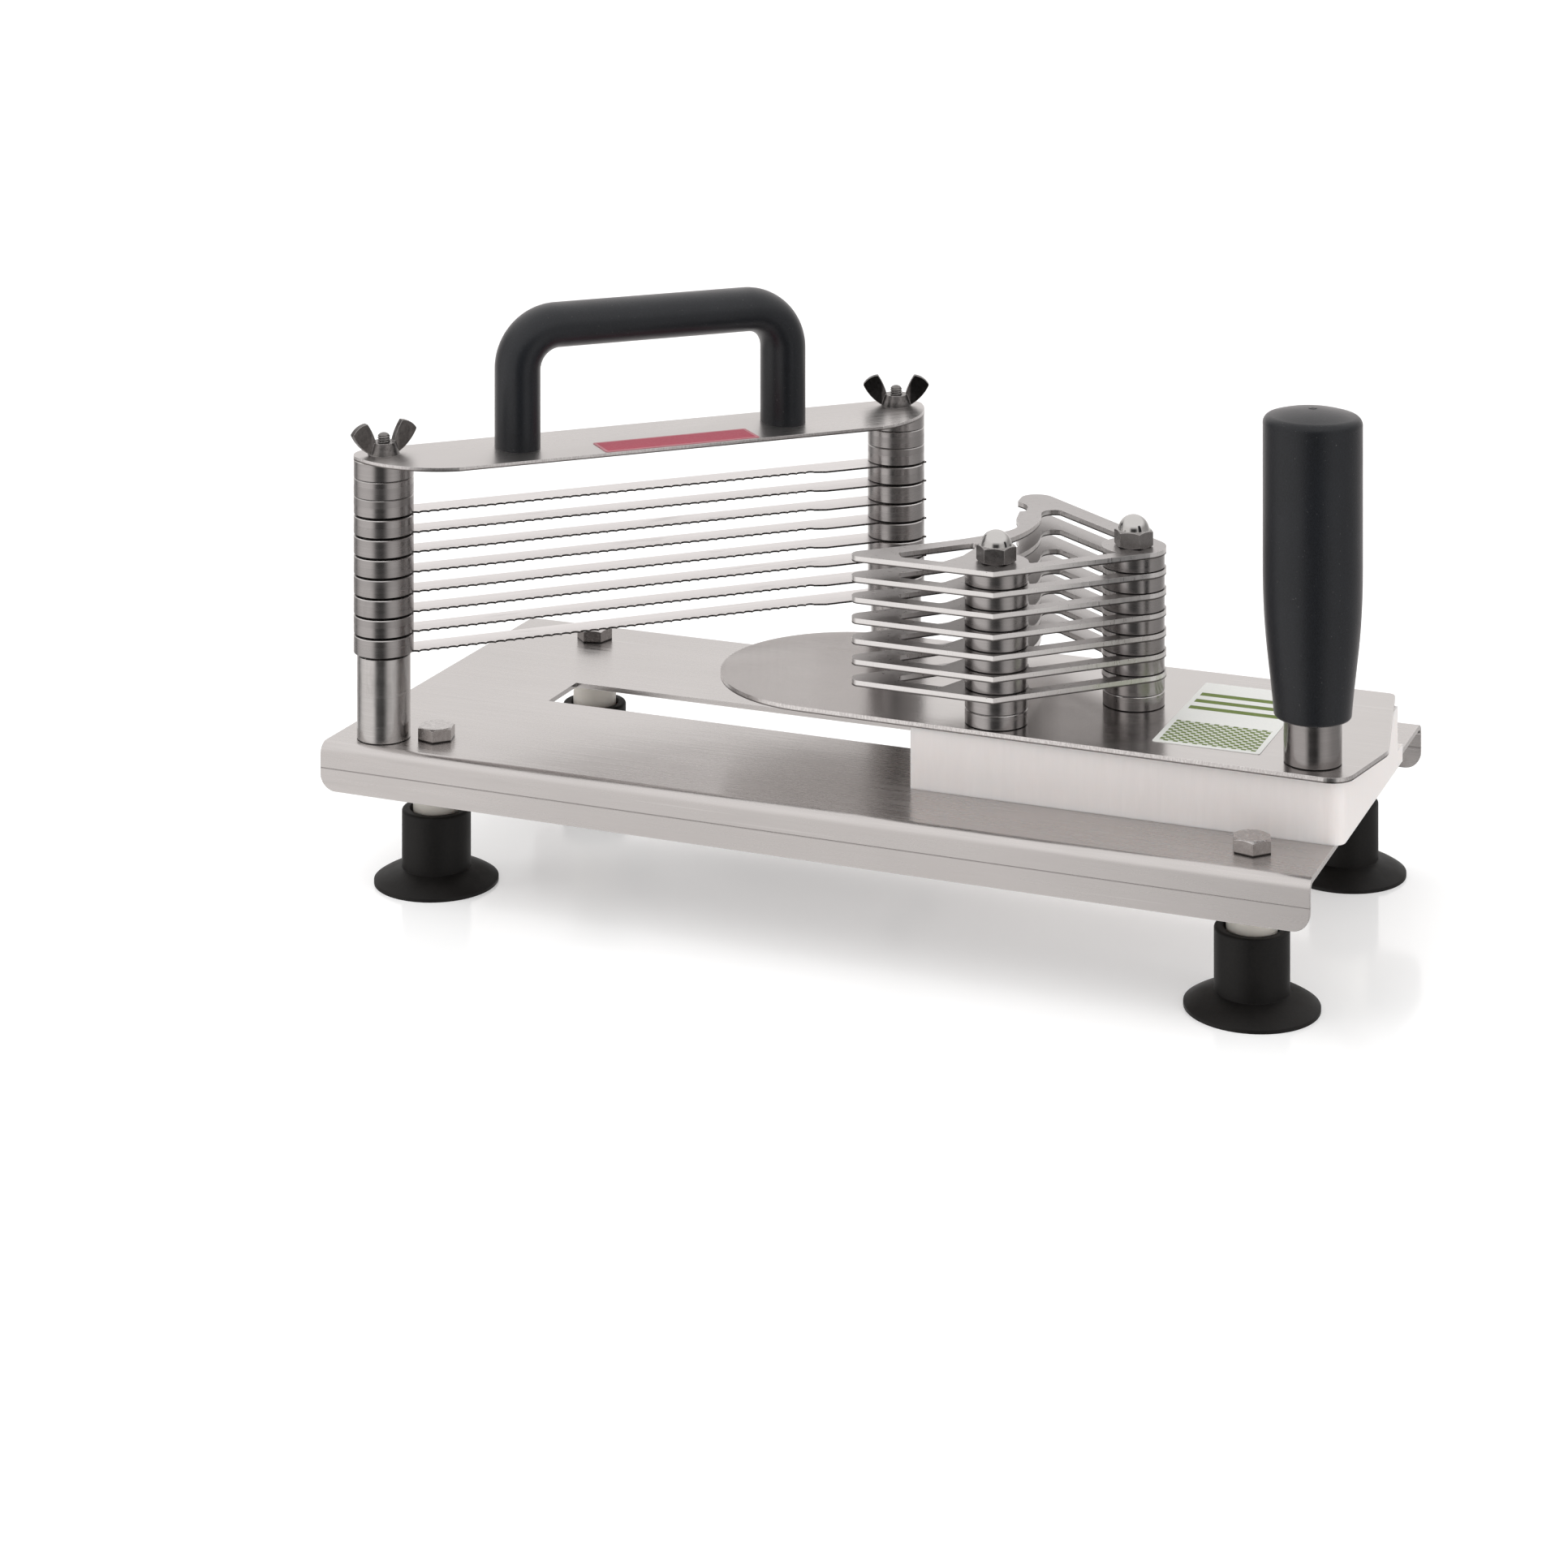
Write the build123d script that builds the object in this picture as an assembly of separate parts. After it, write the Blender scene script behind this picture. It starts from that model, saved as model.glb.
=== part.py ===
from build123d import *
import os
from math import cos, radians, sin, sqrt

# Manual tomato slicer. Millimetres, +Z up, origin on the floor, within 1 mm of the middle of the overall box.
# +X runs along the base towards the push grip, +Y runs across it towards the rear edge.

# ---- heights above the floor ----
FLOOR = 0.0
BASE_TOP = 42.5

# ---- base channel ----
SHEET = 1.5
BASE_LEFT = -155.0
BASE_RIGHT = 145.0
BASE_FRONT = -72.0
BASE_REAR = 72.0
FLANGE_DEPTH = 14.0
BEND_RADIUS = 3.5
FLANGE_CORNER_RADIUS = 5.0
PRESS_LINE_DROP = 7.4
PRESS_LINE_WIDTH = 0.35
SLOT_LEFT = -110.0
SLOT_RIGHT = 137.0
SLOT_WIDTH = 20.0

# ---- feet ----
FOOT_X = 125.0
FOOT_Y = 55.0
FOOT_SIDES = {
    "front_left": (-FOOT_X, -FOOT_Y),
    "front_right": (FOOT_X, -FOOT_Y),
    "rear_left": (-FOOT_X, FOOT_Y),
    "rear_right": (FOOT_X, FOOT_Y),
}
FOOT_BOLT_TURNS = {"front_left": 46.0, "front_right": 47.0, "rear_left": 16.0, "rear_right": 30.0}
FOOT_SPACER_RADIUS = 7.0
FOOT_SPACER_BOTTOM = 16.0
FOOT_NECK_RADIUS = 10.3
FOOT_NECK_TOP = 22.0
FOOT_SKIRT_RADIUS = 18.6
FOOT_SKIRT_TOP = 4.7
FOOT_SKIRT_EDGE = 1.0
FOOT_SKIRT_BULGE = (14.65, 3.25)
FOOT_CUP_HEIGHT = 5.0

# ---- M6 hardware ----
M6_RADIUS = 3.0
M6_HOLE_RADIUS = 3.2
M6_ACROSS_FLATS = 10.0
M6_HEAD_HEIGHT = 4.0
M6_NUT_HEIGHT = 5.0

# ---- M4 hardware ----
M4_RADIUS = 1.95
M4_HOLE_RADIUS = 2.1
M4_ACROSS_FLATS = 7.0
M4_NUT_HEIGHT = 3.2

# ---- blade posts, 45 degrees across the base ----
POST_FRONT = (-140.3, -59.8)
POST_REAR = (-20.8, 59.7)
POST_ANGLE = 45.0
POST_SPACING = (POST_REAR[0] - POST_FRONT[0]) * sqrt(2.0)
COLUMN_RADIUS = 8.0
COLUMN_HEIGHT = 25.25
RING_RADIUS = 9.0
BLADE_COUNT = 8
BLADE_THICKNESS = 0.55
BLADE_RING_HEIGHT = 5.4
BLADE_PITCH = BLADE_THICKNESS + BLADE_RING_HEIGHT
TOP_RING_COUNT = 3
BLADE_WIDTH = 10.6
BLADE_END_FRONT = 7.0
BLADE_END_REAR = 8.2
TOOTH_RECESS = 1.3
SCALLOP_PITCH = 3.0
SCALLOP_DEPTH = 1.05
SCALLOP_START = 6.9
SCALLOP_COUNT = 44
TAB_RAMP = 3.5
FIRST_BLADE = BASE_TOP + COLUMN_HEIGHT
RING_EDGE = 0.25

# ---- top plate ----
TOP_PLATE_THICKNESS = 1.2
TOP_PLATE_BOTTOM = (
    FIRST_BLADE + BLADE_COUNT * BLADE_PITCH - BLADE_RING_HEIGHT + TOP_RING_COUNT * BLADE_RING_HEIGHT
)
TOP_PLATE_TOP = TOP_PLATE_BOTTOM + TOP_PLATE_THICKNESS
TOP_PLATE_FRONT = -25.0
TOP_PLATE_REAR = 8.2
TOP_PLATE_REAR_CORNER = 8.0
TOP_PLATE_CURVE_START = (16.0, TOP_PLATE_FRONT)
TOP_PLATE_CURVE_MIDDLE = (1.5, -18.0)

# ---- carry handle, in post-line coordinates ----
HANDLE_LEG_1 = 40.1
HANDLE_LEG_2 = 127.2
HANDLE_OFFSET = -6.2
HANDLE_HEIGHT = 42.6
HANDLE_IN_PLANE = 13.4
HANDLE_ACROSS = 18.0
HANDLE_BEND = 12.5
HANDLE_SCREW_RADIUS = 2.5
HANDLE_SCREW_LENGTH = 16.0
HANDLE_SCREW_HEAD_RADIUS = 4.5
HANDLE_SCREW_HEAD_HEIGHT = 2.8

# ---- tie rods and wing nuts ----
ROD_TIP_ABOVE_PLATE = 6.5
ROD_BELOW_SHEET = 5.5
WING_NUT_HUB_HEIGHT = 3.7
WING_NUT_HUB_RADIUS = 4.8
WING_NUT_HUB_TOP_RADIUS = 3.7
WING_NUT_BORE = M4_RADIUS + 0.05
WING_THICKNESS = 2.0
WING_ANGLE_FRONT = 55.0
WING_ANGLE_REAR = 22.0

# ---- labels ----
LABEL_THICKNESS = 0.15
FRAME_LABEL_CENTRE = (87.2, -17.9)
FRAME_LABEL_SIZE = (50.0, 12.5)
SLED_LABEL_CENTRE = (106.5, -6.0)
SLED_LABEL_SIZE = (31.0, 58.0)
LABEL_CORNER = 0.8

# ---- sled ----
BLOCK_LEFT = 22.0
BLOCK_RIGHT = 147.3
BLOCK_FRONT = -43.6
BLOCK_REAR = 27.4
BLOCK_LEDGE_REAR = 34.0
BLOCK_LEDGE_HEIGHT = 5.0
BLOCK_HEIGHT = 18.0
BLOCK_CORNER_RADIUS = 4.0
KEY_LEFT = 26.0
KEY_RIGHT = 134.0
KEY_WIDTH = 19.4
KEY_CLEARANCE = 0.2
KEEPER_WIDTH = 40.0
KEEPER_THICKNESS = 5.0
KEEPER_SCREW_X = (45.0, 115.0)
KEEPER_SCREW_RADIUS = 2.5
KEEPER_SCREW_LENGTH = 14.0
SLED_PLATE_BOTTOM = BASE_TOP + BLOCK_HEIGHT
SLED_PLATE_TOP = SLED_PLATE_BOTTOM + SHEET
TONGUE_CENTRE = (-11.6, -4.7)
TONGUE_RADIUS = 39.0
SLED_PLATE_FRONT_CORNER = (148.7, -47.0)
SLED_PLATE_SIDE_CORNER = (154.3, -17.5)
SLED_PLATE_REAR_CORNER = (145.2, 33.9)
SLED_PLATE_FRONT_ROUND = 7.0
SLED_PLATE_SIDE_ROUND = 12.0
SLED_PLATE_REAR_ROUND = 2.5

# ---- pusher fingers ----
FINGER_POST_FRONT = (45.0, -35.0)
FINGER_POST_REAR = (76.5, -3.5)
FINGER_COUNT = 7
FINGER_THICKNESS = 1.7
FINGER_PITCH = BLADE_PITCH
FINGER_RING_HEIGHT = FINGER_PITCH - FINGER_THICKNESS
FIRST_FINGER = SLED_PLATE_TOP + 2 * FINGER_RING_HEIGHT
TOP_FINGER_TOP = FIRST_FINGER + (FINGER_COUNT - 1) * FINGER_PITCH + FINGER_THICKNESS
FINGER_FRONT_Y = -46.5
FINGER_END_RADIUS = 9.5
FINGER_BOSS_RADIUS = 9.3
ACORN_HEX_HEIGHT = 4.8
ACORN_HEIGHT = 9.0
ACORN_DOME_RADIUS = 4.6
COUNTERBORE_RADIUS = 6.5
COUNTERBORE_DEPTH = 6.0

# ---- push grip ----
GRIP = (137.0, -35.0)
FERRULE_RADIUS = 8.0
GRIP_BOTTOM = BASE_TOP + 32.0
GRIP_SHOULDER = BASE_TOP + 73.0
GRIP_TOP = BASE_TOP + 117.0
GRIP_RADIUS = 13.7
GRIP_WAIST_RADIUS = 10.7
SPINDLE_RADIUS = 4.0
SPINDLE_HEAD_RADIUS = 6.0
SPINDLE_HEAD_HEIGHT = 3.0
SPINDLE_TOP = GRIP_TOP - 17.0
SPINDLE_CLEARANCE = 0.08
SPINDLE_NUT_ACROSS_FLATS = 11.0

ON_BOTTOM = (Align.CENTER, Align.CENTER, Align.MIN)
POST_LINE = Pos(POST_FRONT[0], POST_FRONT[1], 0) * Rot(0, 0, POST_ANGLE)


# ---- helpers ----
def disc(point, bottom, height, radius):
    """A vertical cylinder standing on the given height."""
    return Pos(point[0], point[1], bottom) * Cylinder(radius, height, align=ON_BOTTOM)


def ring(point, bottom, height, radius, bore, edge=0.0):
    """A vertical tube, with both outer edges broken when edge is given."""
    tube = Cylinder(radius, height, align=ON_BOTTOM)
    if edge:
        tube = chamfer(tube.edges().filter_by(GeomType.CIRCLE), edge)
    tube -= Cylinder(bore, height, align=ON_BOTTOM)
    return Pos(point[0], point[1], bottom) * tube


def hex_body(point, bottom, height, across_flats, angle=0.0, round_top=False, round_bottom=False):
    """A hexagonal prism with its corners turned down at the chosen ends."""
    corner = across_flats / sqrt(3.0)
    body = extrude(RegularPolygon(corner, 6), height)
    cone_height = height + 2 * corner
    slope = 2.0
    if round_top:
        cone = Cone(across_flats / 2 * 0.97 + slope * cone_height, across_flats / 2 * 0.97, cone_height,
                    align=(Align.CENTER, Align.CENTER, Align.MAX))
        body &= Pos(0, 0, height) * cone
    if round_bottom:
        cone = Cone(across_flats / 2 * 0.97, across_flats / 2 * 0.97 + slope * cone_height, cone_height,
                    align=ON_BOTTOM)
        body &= cone
    return Pos(point[0], point[1], bottom) * Rot(0, 0, angle) * body


def cap_arc(radius, rim, crown):
    """Profile arc from the rim to the axis, centred on the axis so that it turns into a true sphere."""
    rise = crown - rim
    sphere = (radius**2 + rise**2) / (2 * rise)
    middle = crown - sphere + sqrt(sphere**2 - (radius / 2) ** 2)
    return ThreePointArc((radius, rim), (radius / 2, middle), (0, crown))


def save(node, *solids):
    """Write one node, as one solid or a group of separate solids."""
    shape = solids[0] if len(solids) == 1 else Compound(children=list(solids))
    export_step(shape, f"parts/{node}.step")


# ---- base and feet ----
def base_plate():
    """Folded channel: a flat deck, and two turned-down flanges that keep the press tool's line."""
    width = BASE_REAR - BASE_FRONT
    outer = Rectangle(width, FLANGE_DEPTH, align=(Align.CENTER, Align.MAX))
    outer = fillet(outer.vertices().group_by(Axis.Y)[-1], BEND_RADIUS)
    inner = Pos(0, -SHEET) * Rectangle(width - 2 * SHEET, FLANGE_DEPTH, align=(Align.CENTER, Align.MAX))
    inner = fillet(inner.vertices().group_by(Axis.Y)[-1], BEND_RADIUS - SHEET)
    section = outer - inner
    for side in (BASE_FRONT, BASE_REAR):
        groove = Rot(0, 0, 45) * Rectangle(PRESS_LINE_WIDTH / sqrt(2.0), PRESS_LINE_WIDTH / sqrt(2.0))
        section -= Pos(side, -PRESS_LINE_DROP) * groove
    channel = Pos(BASE_LEFT, 0, BASE_TOP) * extrude(Plane.YZ * section, BASE_RIGHT - BASE_LEFT)
    lowest = channel.edges().filter_by(Axis.Y).group_by(Axis.Z)[0]
    channel = fillet(lowest, FLANGE_CORNER_RADIUS)
    deck = BASE_TOP - SHEET
    for point in FOOT_SIDES.values():
        channel -= disc(point, deck, SHEET, M6_HOLE_RADIUS)
    for point in (POST_FRONT, POST_REAR):
        channel -= disc(point, deck, SHEET, M4_HOLE_RADIUS)
    slot = Box(SLOT_RIGHT - SLOT_LEFT, SLOT_WIDTH, SHEET, align=(Align.MIN, Align.CENTER, Align.MIN))
    channel -= Pos(SLOT_LEFT, 0, deck) * slot
    return channel


def foot_bolt(side):
    """Hex bolt from the deck down through the spacer into the nut in the rubber."""
    point = FOOT_SIDES[side]
    turn = FOOT_BOLT_TURNS[side]
    head = hex_body(point, BASE_TOP, M6_HEAD_HEIGHT, M6_ACROSS_FLATS, angle=turn, round_top=True)
    shank_bottom = FOOT_SPACER_BOTTOM - M6_NUT_HEIGHT
    shank = disc(point, shank_bottom, BASE_TOP - shank_bottom, M6_RADIUS)
    return head + shank


def foot_spacer(point):
    height = BASE_TOP - SHEET - FOOT_SPACER_BOTTOM
    return ring(point, FOOT_SPACER_BOTTOM, height, FOOT_SPACER_RADIUS, M6_HOLE_RADIUS, edge=0.4)


def foot_nut(point):
    nut = hex_body(point, FOOT_SPACER_BOTTOM - M6_NUT_HEIGHT, M6_NUT_HEIGHT, M6_ACROSS_FLATS)
    return nut - disc(point, FOOT_SPACER_BOTTOM - M6_NUT_HEIGHT, M6_NUT_HEIGHT, M6_RADIUS)


def suction_foot(point):
    """Rubber neck with an open rim, over a thin domed skirt that is hollow underneath."""
    pocket_radius = FOOT_SPACER_RADIUS + 0.1
    nut_bottom = FOOT_SPACER_BOTTOM - M6_NUT_HEIGHT
    with BuildSketch(Plane.XZ) as section:
        with BuildLine():
            Polyline(
                (0, FOOT_CUP_HEIGHT),
                (0, nut_bottom),
                (pocket_radius, nut_bottom),
                (pocket_radius, FOOT_NECK_TOP - 1.5),
                (pocket_radius + 0.9, FOOT_NECK_TOP),
            )
            Line((pocket_radius + 0.9, FOOT_NECK_TOP), (FOOT_NECK_RADIUS - 0.8, FOOT_NECK_TOP))
            RadiusArc(
                (FOOT_NECK_RADIUS - 0.8, FOOT_NECK_TOP),
                (FOOT_NECK_RADIUS, FOOT_NECK_TOP - 0.8),
                0.8,
            )
            Line((FOOT_NECK_RADIUS, FOOT_NECK_TOP - 0.8), (FOOT_NECK_RADIUS, FOOT_SKIRT_TOP))
            ThreePointArc(
                (FOOT_NECK_RADIUS, FOOT_SKIRT_TOP),
                FOOT_SKIRT_BULGE,
                (FOOT_SKIRT_RADIUS, FOOT_SKIRT_EDGE),
            )
            Polyline(
                (FOOT_SKIRT_RADIUS, FOOT_SKIRT_EDGE),
                (FOOT_SKIRT_RADIUS, FLOOR),
                (FOOT_SKIRT_RADIUS - 1.4, FLOOR),
            )
            cap_arc(FOOT_SKIRT_RADIUS - 1.4, FLOOR, FOOT_CUP_HEIGHT)
        make_face()
    body = revolve(section.sketch, Axis.Z)
    sleeve = Cylinder(pocket_radius, M6_NUT_HEIGHT, align=ON_BOTTOM)
    sleeve -= extrude(RegularPolygon(M6_ACROSS_FLATS / sqrt(3.0), 6), M6_NUT_HEIGHT)
    body += Pos(0, 0, nut_bottom) * sleeve
    return Pos(point[0], point[1], 0) * body


# ---- blade frame ----
def post_column(point):
    return ring(point, BASE_TOP, COLUMN_HEIGHT, COLUMN_RADIUS, M4_HOLE_RADIUS, edge=RING_EDGE)


def tie_rod(point):
    """Threaded rod with a domed tip, standing proud of the wing nut."""
    bottom = BASE_TOP - SHEET - ROD_BELOW_SHEET
    top = TOP_PLATE_TOP + ROD_TIP_ABOVE_PLATE
    rod = disc(point, bottom, top - bottom, M4_RADIUS)
    tip = rod.edges().filter_by(GeomType.CIRCLE).group_by(Axis.Z)[-1]
    return fillet(tip, 1.6)


def tie_rod_nut(point):
    bottom = BASE_TOP - SHEET - M4_NUT_HEIGHT
    nut = hex_body(point, bottom, M4_NUT_HEIGHT, M4_ACROSS_FLATS, round_bottom=True)
    return nut - disc(point, bottom, M4_NUT_HEIGHT, M4_RADIUS)


def blade(level):
    """Thin strip between the posts, with scalloped teeth ground into the edge that faces the sled."""
    front = -BLADE_WIDTH / 2
    cusp = front + TOOTH_RECESS
    left = -BLADE_END_FRONT
    right = POST_SPACING + BLADE_END_REAR
    first = SCALLOP_START
    last = SCALLOP_START + SCALLOP_COUNT * SCALLOP_PITCH
    with BuildSketch() as outline:
        with BuildLine():
            Line((left, cusp), (first, cusp))
            for step in range(SCALLOP_COUNT):
                start = first + step * SCALLOP_PITCH
                ThreePointArc(
                    (start, cusp),
                    (start + SCALLOP_PITCH / 2, cusp + SCALLOP_DEPTH),
                    (start + SCALLOP_PITCH, cusp),
                )
            Polyline(
                (last, cusp),
                (last + TAB_RAMP, front),
                (right, front),
                (right, -front),
                (left, -front),
                (left, cusp),
            )
        make_face()
        with Locations((0, 0), (POST_SPACING, 0)):
            Circle(M4_HOLE_RADIUS, mode=Mode.SUBTRACT)
    height = FIRST_BLADE + level * BLADE_PITCH
    return Pos(0, 0, height) * POST_LINE * extrude(outline.sketch, BLADE_THICKNESS)


def blade_spacers(point):
    """Rings between the blades, with the extra rings that carry the top plate."""
    bottoms = [FIRST_BLADE + level * BLADE_PITCH + BLADE_THICKNESS for level in range(BLADE_COUNT)]
    bottoms += [bottoms[-1] + extra * BLADE_RING_HEIGHT for extra in range(1, TOP_RING_COUNT)]
    return [
        ring(point, bottom, BLADE_RING_HEIGHT, RING_RADIUS, M4_HOLE_RADIUS, RING_EDGE)
        for bottom in bottoms
    ]


def top_plate():
    """Plate along the post line, narrow behind the posts, with long curved corners in front."""
    start_along, front = TOP_PLATE_CURVE_START
    middle_along, middle_across = TOP_PLATE_CURVE_MIDDLE
    corner = TOP_PLATE_REAR_CORNER
    left = -RING_RADIUS
    right = POST_SPACING + RING_RADIUS
    rear = TOP_PLATE_REAR
    side = rear - corner
    with BuildSketch() as outline:
        with BuildLine():
            Line((start_along, front), (POST_SPACING - start_along, front))
            ThreePointArc(
                (POST_SPACING - start_along, front),
                (POST_SPACING - middle_along, middle_across),
                (right, side),
            )
            JernArc((right, side), (0, 1), corner, 90)
            Line((right - corner, rear), (left + corner, rear))
            JernArc((left + corner, rear), (-1, 0), corner, 90)
            ThreePointArc((left, side), (middle_along, middle_across), (start_along, front))
        make_face()
        with Locations((0, 0), (POST_SPACING, 0)):
            Circle(M4_HOLE_RADIUS, mode=Mode.SUBTRACT)
        with Locations((HANDLE_LEG_1, HANDLE_OFFSET), (HANDLE_LEG_2, HANDLE_OFFSET)):
            Circle(HANDLE_SCREW_RADIUS + 0.1, mode=Mode.SUBTRACT)
    return Pos(0, 0, TOP_PLATE_BOTTOM) * POST_LINE * extrude(outline.sketch, TOP_PLATE_THICKNESS)


def carry_handle():
    """Oval bar swept up, across and down, with a blind screw hole in each foot."""
    rise = HANDLE_HEIGHT - HANDLE_IN_PLANE / 2
    path = FilletPolyline(
        (HANDLE_LEG_1, HANDLE_OFFSET, 0),
        (HANDLE_LEG_1, HANDLE_OFFSET, rise),
        (HANDLE_LEG_2, HANDLE_OFFSET, rise),
        (HANDLE_LEG_2, HANDLE_OFFSET, 0),
        radius=HANDLE_BEND,
    )
    section = Pos(HANDLE_LEG_1, HANDLE_OFFSET, 0) * Ellipse(HANDLE_IN_PLANE / 2, HANDLE_ACROSS / 2)
    handle = sweep(section, path)
    for along in (HANDLE_LEG_1, HANDLE_LEG_2):
        handle -= disc((along, HANDLE_OFFSET), 0, HANDLE_SCREW_LENGTH, HANDLE_SCREW_RADIUS)
    return Pos(0, 0, TOP_PLATE_TOP) * POST_LINE * handle


def carry_handle_screw(along):
    shank = disc((along, HANDLE_OFFSET), -TOP_PLATE_THICKNESS, HANDLE_SCREW_LENGTH, HANDLE_SCREW_RADIUS)
    head_bottom = -TOP_PLATE_THICKNESS - HANDLE_SCREW_HEAD_HEIGHT
    head = disc((along, HANDLE_OFFSET), head_bottom, HANDLE_SCREW_HEAD_HEIGHT, HANDLE_SCREW_HEAD_RADIUS)
    head = fillet(head.edges().filter_by(GeomType.CIRCLE).group_by(Axis.Z)[0], 1.5)
    recess = extrude(RegularPolygon(1.8, 6), 1.6)
    screw = shank + head - Pos(along, HANDLE_OFFSET, head_bottom) * recess
    return Pos(0, 0, TOP_PLATE_TOP) * POST_LINE * screw


def wing_nut(point, angle):
    """Conical hub with two flat wings that flare up and out to rounded ends."""
    hub = Cone(WING_NUT_HUB_RADIUS, WING_NUT_HUB_TOP_RADIUS, WING_NUT_HUB_HEIGHT, align=ON_BOTTOM)
    with BuildSketch(Plane.XZ) as outline:
        with BuildLine():
            Line((2.6, 0.3), (4.5, 0.3))
            ThreePointArc((4.5, 0.3), (8.0, 3.0), (10.5, 6.7))
            ThreePointArc((10.5, 6.7), (8.5, 8.8), (5.8, 9.7))
            ThreePointArc((5.8, 9.7), (4.1, 6.8), (2.9, 3.4))
            Line((2.9, 3.4), (2.6, 0.3))
        make_face()
    wing = extrude(outline.sketch, WING_THICKNESS / 2, both=True)
    wing = fillet(wing.edges().filter_by(Axis.Y).sort_by(Axis.X)[-1], 0.6)
    nut = hub + wing + Rot(0, 0, 180) * wing
    nut -= Cylinder(WING_NUT_BORE, WING_NUT_HUB_HEIGHT + 1.0, align=ON_BOTTOM)
    return Pos(point[0], point[1], TOP_PLATE_TOP) * Rot(0, 0, angle) * nut


def frame_label():
    outline = Pos(*FRAME_LABEL_CENTRE) * RectangleRounded(*FRAME_LABEL_SIZE, LABEL_CORNER)
    return Pos(0, 0, TOP_PLATE_TOP) * POST_LINE * extrude(outline, LABEL_THICKNESS)


# ---- sled ----
def sled_plate():
    """Flat plate: a half-round tongue ahead of the block, and a right end with a blunt middle corner."""
    tongue_x, tongue_y = TONGUE_CENTRE
    corners = [SLED_PLATE_FRONT_CORNER, SLED_PLATE_SIDE_CORNER, SLED_PLATE_REAR_CORNER]
    rounds = [SLED_PLATE_FRONT_ROUND, SLED_PLATE_SIDE_ROUND, SLED_PLATE_REAR_ROUND]
    body = Polygon(
        (tongue_x, tongue_y - TONGUE_RADIUS),
        *corners,
        (tongue_x, tongue_y + TONGUE_RADIUS),
        align=None,
    )
    for corner, radius in zip(corners, rounds):
        nearest = body.vertices().sort_by_distance(Vector(*corner))[0]
        body = fillet(nearest, radius)
    outline = body + Pos(tongue_x, tongue_y) * Circle(TONGUE_RADIUS)
    for point in (FINGER_POST_FRONT, FINGER_POST_REAR):
        outline -= Pos(point[0], point[1]) * Circle(M6_HOLE_RADIUS)
    outline -= Pos(GRIP[0], GRIP[1]) * Circle(SPINDLE_RADIUS + 0.2)
    return Pos(0, 0, SLED_PLATE_BOTTOM) * extrude(outline, SHEET)


def key_bottom():
    return BASE_TOP - SHEET - KEY_CLEARANCE


def sled_block():
    """Plastic block with a low ledge along the rear and a key that runs in the base slot."""
    length = BLOCK_RIGHT - BLOCK_LEFT
    corner = (Align.MIN, Align.MIN, Align.MIN)
    block = Box(length, BLOCK_REAR - BLOCK_FRONT, BLOCK_HEIGHT, align=corner)
    block = Pos(BLOCK_LEFT, BLOCK_FRONT, BASE_TOP) * block
    upright = block.edges().filter_by(Axis.Z)
    block = fillet(upright.group_by(Axis.X)[-1].sort_by(Axis.Y)[0], BLOCK_CORNER_RADIUS)
    ledge = Box(length, BLOCK_LEDGE_REAR - BLOCK_REAR, BLOCK_LEDGE_HEIGHT, align=corner)
    block += Pos(BLOCK_LEFT, BLOCK_REAR, BASE_TOP) * ledge
    on_corner = (Align.MIN, Align.CENTER, Align.MIN)
    key = Box(KEY_RIGHT - KEY_LEFT, KEY_WIDTH, BASE_TOP - key_bottom(), align=on_corner)
    block += Pos(KEY_LEFT, 0, key_bottom()) * key
    reach = SLED_PLATE_BOTTOM - key_bottom()
    for point in (FINGER_POST_FRONT, FINGER_POST_REAR, GRIP):
        hole_radius = SPINDLE_RADIUS + 0.2 if point == GRIP else M6_HOLE_RADIUS
        block -= disc(point, key_bottom(), reach, hole_radius)
        block -= disc(point, key_bottom(), BASE_TOP + COUNTERBORE_DEPTH - key_bottom(), COUNTERBORE_RADIUS)
    for x in KEEPER_SCREW_X:
        block -= disc((x, 0), key_bottom(), KEEPER_SCREW_LENGTH - KEEPER_THICKNESS, KEEPER_SCREW_RADIUS)
    return block


def keeper_screw_head(x):
    """Countersunk head cone, flush with the keeper's underside."""
    cone = Cone(2 * KEEPER_SCREW_RADIUS, KEEPER_SCREW_RADIUS, KEEPER_SCREW_RADIUS, align=ON_BOTTOM)
    return Pos(x, 0, key_bottom() - KEEPER_THICKNESS) * cone


def sled_keeper():
    """Strip under the base, wider than the slot, that holds the block down."""
    length = KEY_RIGHT - KEY_LEFT
    keeper = Box(length, KEEPER_WIDTH, KEEPER_THICKNESS, align=(Align.MIN, Align.CENTER, Align.MAX))
    keeper = chamfer(keeper.edges().filter_by(Axis.Z), 3.0)
    keeper = Pos(KEY_LEFT, 0, key_bottom()) * keeper
    for x in KEEPER_SCREW_X:
        keeper -= disc((x, 0), key_bottom() - KEEPER_THICKNESS, KEEPER_THICKNESS, KEEPER_SCREW_RADIUS)
        keeper -= keeper_screw_head(x)
    return keeper


def keeper_screw(x):
    bottom = key_bottom() - KEEPER_THICKNESS
    screw = disc((x, 0), bottom, KEEPER_SCREW_LENGTH, KEEPER_SCREW_RADIUS) + keeper_screw_head(x)
    return screw - Pos(x, 0, bottom) * extrude(RegularPolygon(1.7, 6), 2.0)


def counterbored_nut(point, across_flats, bore):
    nut = hex_body(point, BASE_TOP + COUNTERBORE_DEPTH - M6_NUT_HEIGHT, M6_NUT_HEIGHT, across_flats,
                   round_bottom=True)
    return nut - disc(point, BASE_TOP + COUNTERBORE_DEPTH - M6_NUT_HEIGHT, M6_NUT_HEIGHT, bore)


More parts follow.
